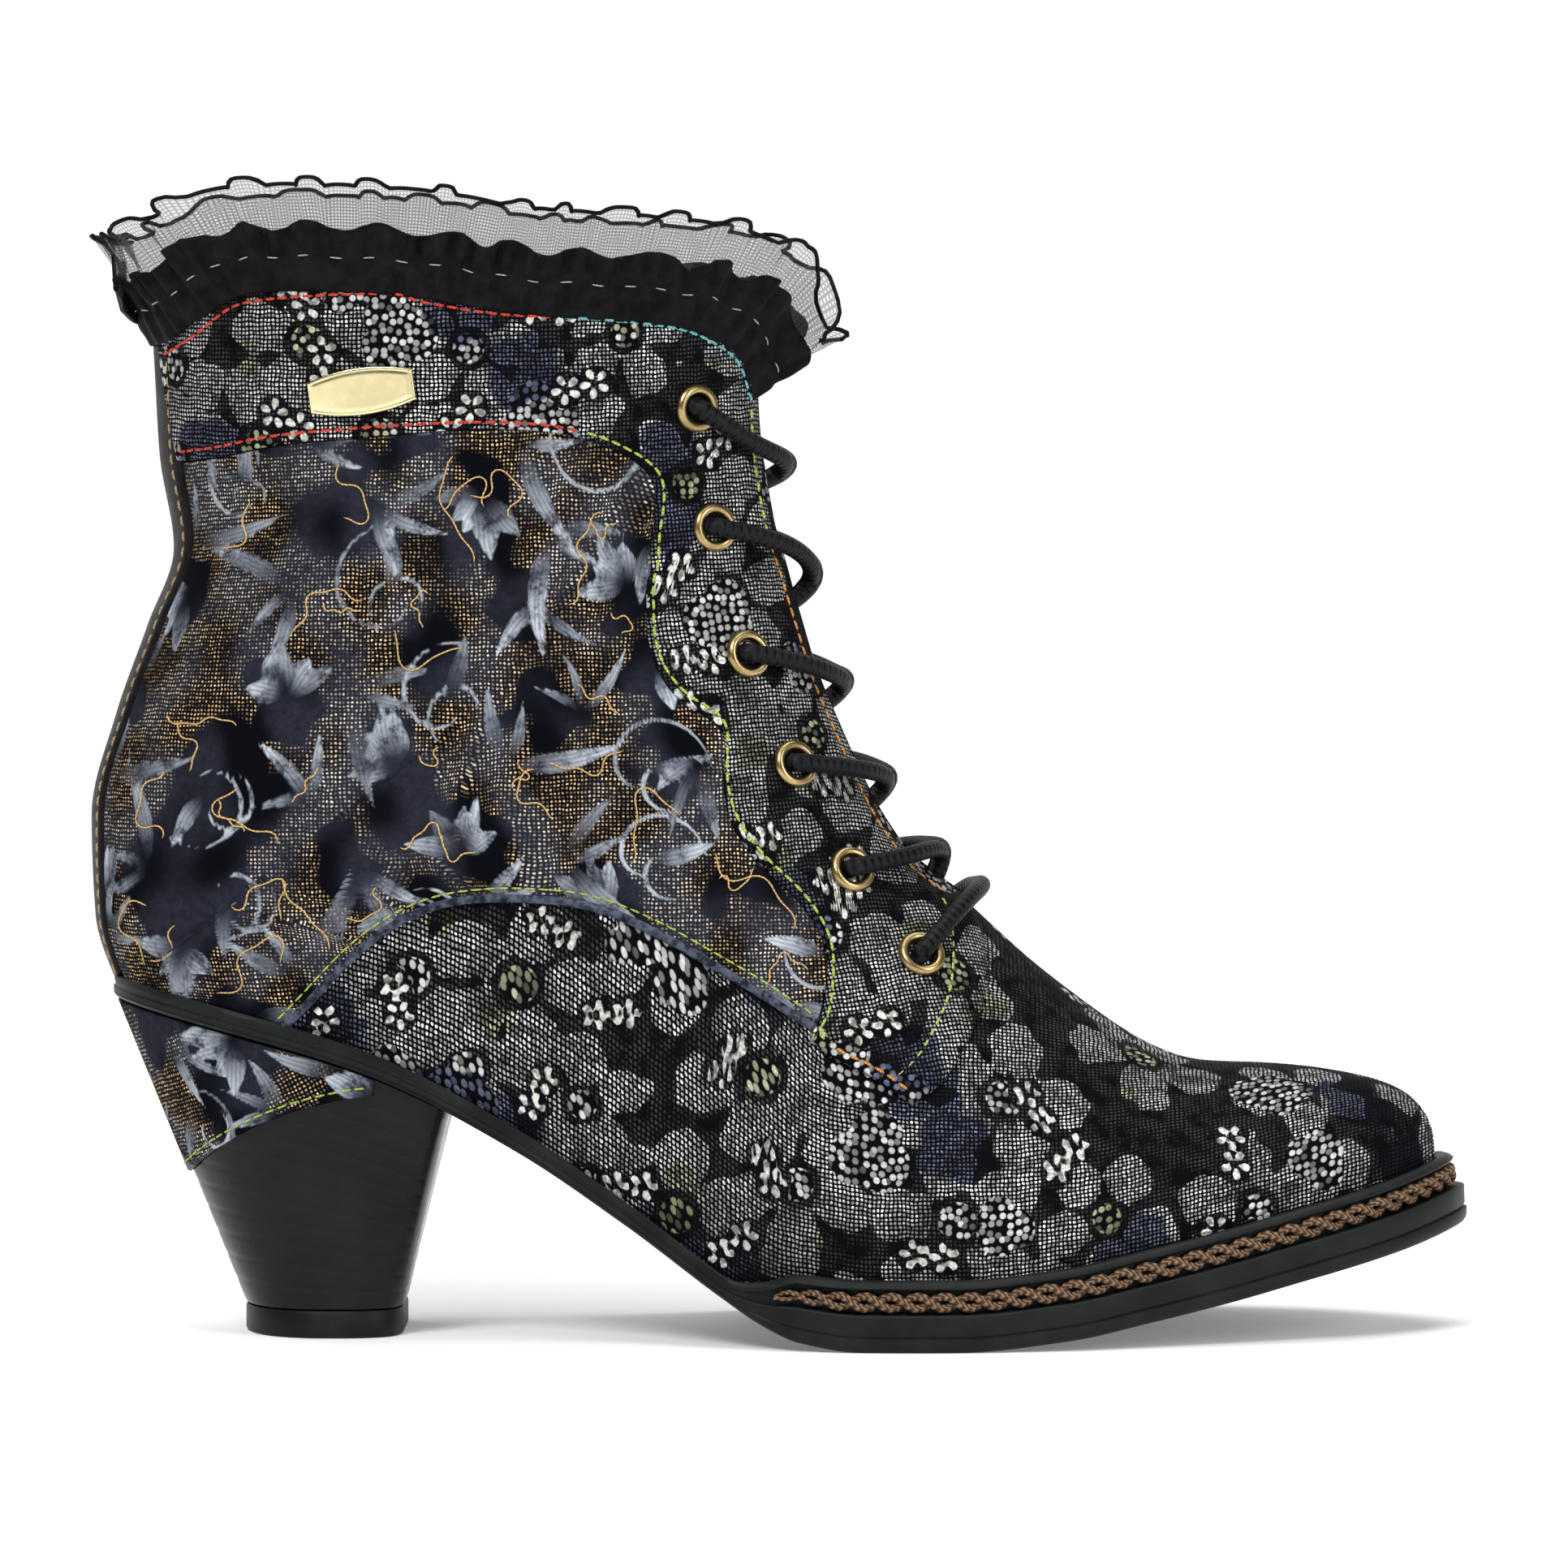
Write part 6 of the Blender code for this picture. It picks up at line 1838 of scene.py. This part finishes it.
def make_badge():
    """The bare barrel-shaped plate on the lateral cuff, a little bowed."""
    tree = panel_tree(-1, "stay")
    row, climb = BADGE_PLACE
    x, z = section_line(row, climb)
    hit = tree.ray_cast(Vector((float(x), -0.2, float(z))), Vector((0, 1, 0)))
    centre = np.array(hit[0][:])
    normal = np.array(hit[1][:])
    normal *= -np.sign(normal[1])
    along = np.array([math.cos(BADGE_TURN), 0, math.sin(BADGE_TURN)])
    along -= normal * (normal @ along)
    along /= np.linalg.norm(along)
    up = np.cross(along, normal)
    up *= np.sign(up[2])
    a, b = np.meshgrid(cluster(60, 0.04) * 2 - 1, cluster(40, 0.07) * 2 - 1, indexing="ij")
    width = BADGE_WIDTH / 2 * (1 - 0.36 * a**2)
    u = a * BADGE_LENGTH / 2
    v = b * width
    near = np.minimum((1 - np.abs(a)) * BADGE_LENGTH / 2, (1 - np.abs(b)) * width)
    lip = np.exp(-((near - 0.0007) / 0.0003)**2)
    bow_radius = 0.11
    lift = (rounded(near, BADGE_THICKNESS, 0.0004) - 0.00006 * lip - u**2 / (2 * bow_radius)
            + 0.0004)
    points = centre + u[..., None] * along + v[..., None] * up + lift[..., None] * normal
    made = new_piece("brass_plate", points, faced(points, normal, 30, 20), PALE_BRASS)
    thicken(made, BADGE_THICKNESS)
    keep(made, "badge", "badge")


# Frills

def collar_path(count):
    """Points, outward and upward ways along the collar, evenly spaced."""
    half_tau = np.linspace(FRILL_END, 0.0, 160)
    points, normals = [], []
    for side in (-1, 1):
        row = collar_row(half_tau, side)
        point, normal = skin(row, half_tau, side, np.zeros_like(row))
        pick = slice(None) if side < 0 else slice(None, None, -1)
        points.append(point[pick] if side < 0 else point[pick][1:])
        normals.append(normal[pick] if side < 0 else normal[pick][1:])
    line = np.concatenate([np.concatenate(points), np.concatenate(normals)], axis=1)
    way = travelled(line[:, :3])
    at = np.linspace(0, way[-1], count)
    line = read_line(at, way, line)
    places, normal = line[:, :3], line[:, 3:]
    for _ in range(12):
        normal[1:-1] = (normal[:-2] + 2 * normal[1:-1] + normal[2:]) / 4
    normal = unit(normal)
    up = np.cross(unit(np.gradient(places, axis=0)), normal)
    up *= np.sign(up[count // 2, 2])
    return places, normal, up, at


def gathers(way, pitch, seed):
    """A pleat wave along a gathered edge, uneven from pleat to pleat."""
    draw = np.random.default_rng(seed)
    knots = np.linspace(0, way[-1], int(way[-1] / pitch * 1.5))
    warp = np.interp(way, knots, draw.uniform(-0.28, 0.28, len(knots)) * pitch)
    size = np.interp(way, knots, draw.uniform(0.55, 1.25, len(knots)))
    return np.sin(2 * math.pi * (way + warp) / pitch) * size


def make_frills():
    """The opaque gathered band and the sheer frill that stands above it."""
    places, normal, up, way = collar_path(COLLAR_STEPS)
    pleat = gathers(way, pitch=0.0042, seed=5)
    swell = gathers(way, pitch=0.0110, seed=8)
    share = np.linspace(0, 1, 20)[None, :]
    near = np.minimum(way, way[-1] - way)[:, None]
    foot = -0.0011 - 0.0030 * np.exp(-(near / 0.018)**2)
    height = foot + (BAND_WIDTH - foot) * share + 0.0011 * swell[:, None] * share**2
    pinch = np.exp(-((share - 0.52) / 0.10)**2)
    open_up = 0.25 + 0.75 * share
    out = (FRILL_FLARE * height + 0.0018 + 0.00095 * pleat[:, None] * open_up * (1 - 0.75 * pinch)
           + 0.0006 * swell[:, None] * share - 0.0005 * pinch)
    band = (places[:, None] + up[:, None] * (height * math.cos(FRILL_FLARE / 2))[..., None]
            + normal[:, None] * out[..., None])
    made = new_piece("gathered_band", band, grid_quads(*band.shape[:2]), RIBBON)
    thicken(made, 0.0005, 0.0)
    keep(made, "frill", "frill_band")
    line = band[:, 10]
    stitches("gather_seam", line + normal * 0.00045, normal, SILVER, "frill", pitch=0.0060,
             length=0.0022, radius=0.00014)
    ripple = np.tanh(1.7 * gathers(way, pitch=0.0098, seed=12))
    fine = gathers(way, pitch=0.0034, seed=15)
    share = np.linspace(0, 1, 16)[None, :]
    lift = 0.0092 + (ORGANZA_WIDTH + 0.0022 + 0.0007 * ripple[:, None]) * share
    out = (FRILL_FLARE * lift + 0.0008 + 0.0021 * ripple[:, None] * share**1.1
           + 0.0004 * fine[:, None] * (0.4 + share * 0.3))
    tall = lift - 0.0012 * share * (1 - np.abs(ripple[:, None])) * 0.8
    sheer = (places[:, None] + up[:, None] * (tall * math.cos(FRILL_FLARE / 2))[..., None]
             + normal[:, None] * out[..., None])
    uv = np.stack(np.broadcast_arrays(way[:, None] / MM, share * 8.0), axis=-1)
    made = new_piece("sheer_frill", sheer, grid_quads(*sheer.shape[:2]), ORGANZA, uv)
    keep(made, "organza", "frill_organza")
    edge = sheer[:, -1]
    made = tubes("frill_hem", edge[::2], normal[::2], 0.00042, RIBBON, around=6)
    keep(made, "organza")


def organza():
    """Sheer black gauze: crossing threads, see-through between them."""
    made, n, shader = new_material("sheer_gauze")
    uv = n.cloth()
    parts = n.put("ShaderNodeSeparateXYZ", uv)
    waves = [n.math("COSINE", n.times(parts.outputs[axis], 2 * math.pi / 0.5)) for axis in (0, 1)]
    thread = n.step(n.math("MAXIMUM", *waves), -0.2, 0.9)
    n.feed(shader.inputs["Alpha"], n.math("MULTIPLY_ADD", thread, 0.42, 0.14))
    solid = n.solid()
    n.feed(shader.inputs["Base Color"],
           n.mix(n.noise(solid, 200.0), (0.006, 0.006, 0.007, 1), (0.05, 0.05, 0.06, 1)))
    set_all(shader, Roughness=0.4, Specular_IOR_Level=0.2)
    return made


ORGANZA = organza()
make_seams()
make_gold_cords()
make_eyelets()
make_lace()
make_braid()
make_badge()
make_frills()


# Floor, backdrop and light

def make_stage():
    """A plain pale floor that curves up into a pale backdrop."""
    bend, radius, start = np.linspace(0.1, math.pi / 2, 16), 0.8, 1.2
    y = np.concatenate([np.linspace(-3.0, start, 8), start + radius * np.sin(bend), [2.0]])
    z = np.concatenate([np.zeros(8), radius - radius * np.cos(bend), [3.0]])
    x = np.linspace(-4, 4, 3)
    points = np.stack(np.broadcast_arrays(x[None, :], y[:, None], z[:, None]), axis=-1)
    made, _, shader = new_material("pale_floor")
    set_all(shader, Base_Color=(0.90, 0.90, 0.90, 1), Roughness=0.7, Specular_IOR_Level=0.1,
            Emission_Color=(1, 1, 1, 1), Emission_Strength=0.17)
    floor = new_piece("floor", points, grid_quads(*points.shape[:2]), made)


def soft_light(name, place, aim, size, power, colour=(1.0, 1.0, 1.0)):
    """A square soft light turned to a place."""
    data = bpy.data.lights.new(name, "AREA")
    data.shape = "RECTANGLE"
    data.size, data.size_y = size
    data.energy = power
    data.color = colour
    made = bpy.data.objects.new(name, data)
    made.location = place
    made.rotation_euler = (Vector(aim) - Vector(place)).to_track_quat("-Z", "Y").to_euler()
    bpy.context.scene.collection.objects.link(made)


make_stage()
soft_light("key", (-0.5, -1.4, 1.5), (0.08, 0, 0.08), (0.7, 0.7), 30)
soft_light("fill", (1.4, -1.2, 0.8), (0.08, 0, 0.08), (0.5, 1.2), 15)
soft_light("top", (0.1, 0.1, 1.8), (0.08, 0, 0.0), (1.4, 1.4), 24)
soft_light("rear", (-0.9, 1.0, 0.9), (0.08, 0, 0.1), (0.8, 0.8), 4)
world = bpy.data.worlds.new("studio")
world.use_nodes = True
world.node_tree.nodes["Background"].inputs[0].default_value = (1.0, 1.0, 1.0, 1.0)
world.node_tree.nodes["Background"].inputs[1].default_value = 0.11
bpy.context.scene.world = world
bpy.context.scene.view_settings.view_transform = "Standard"
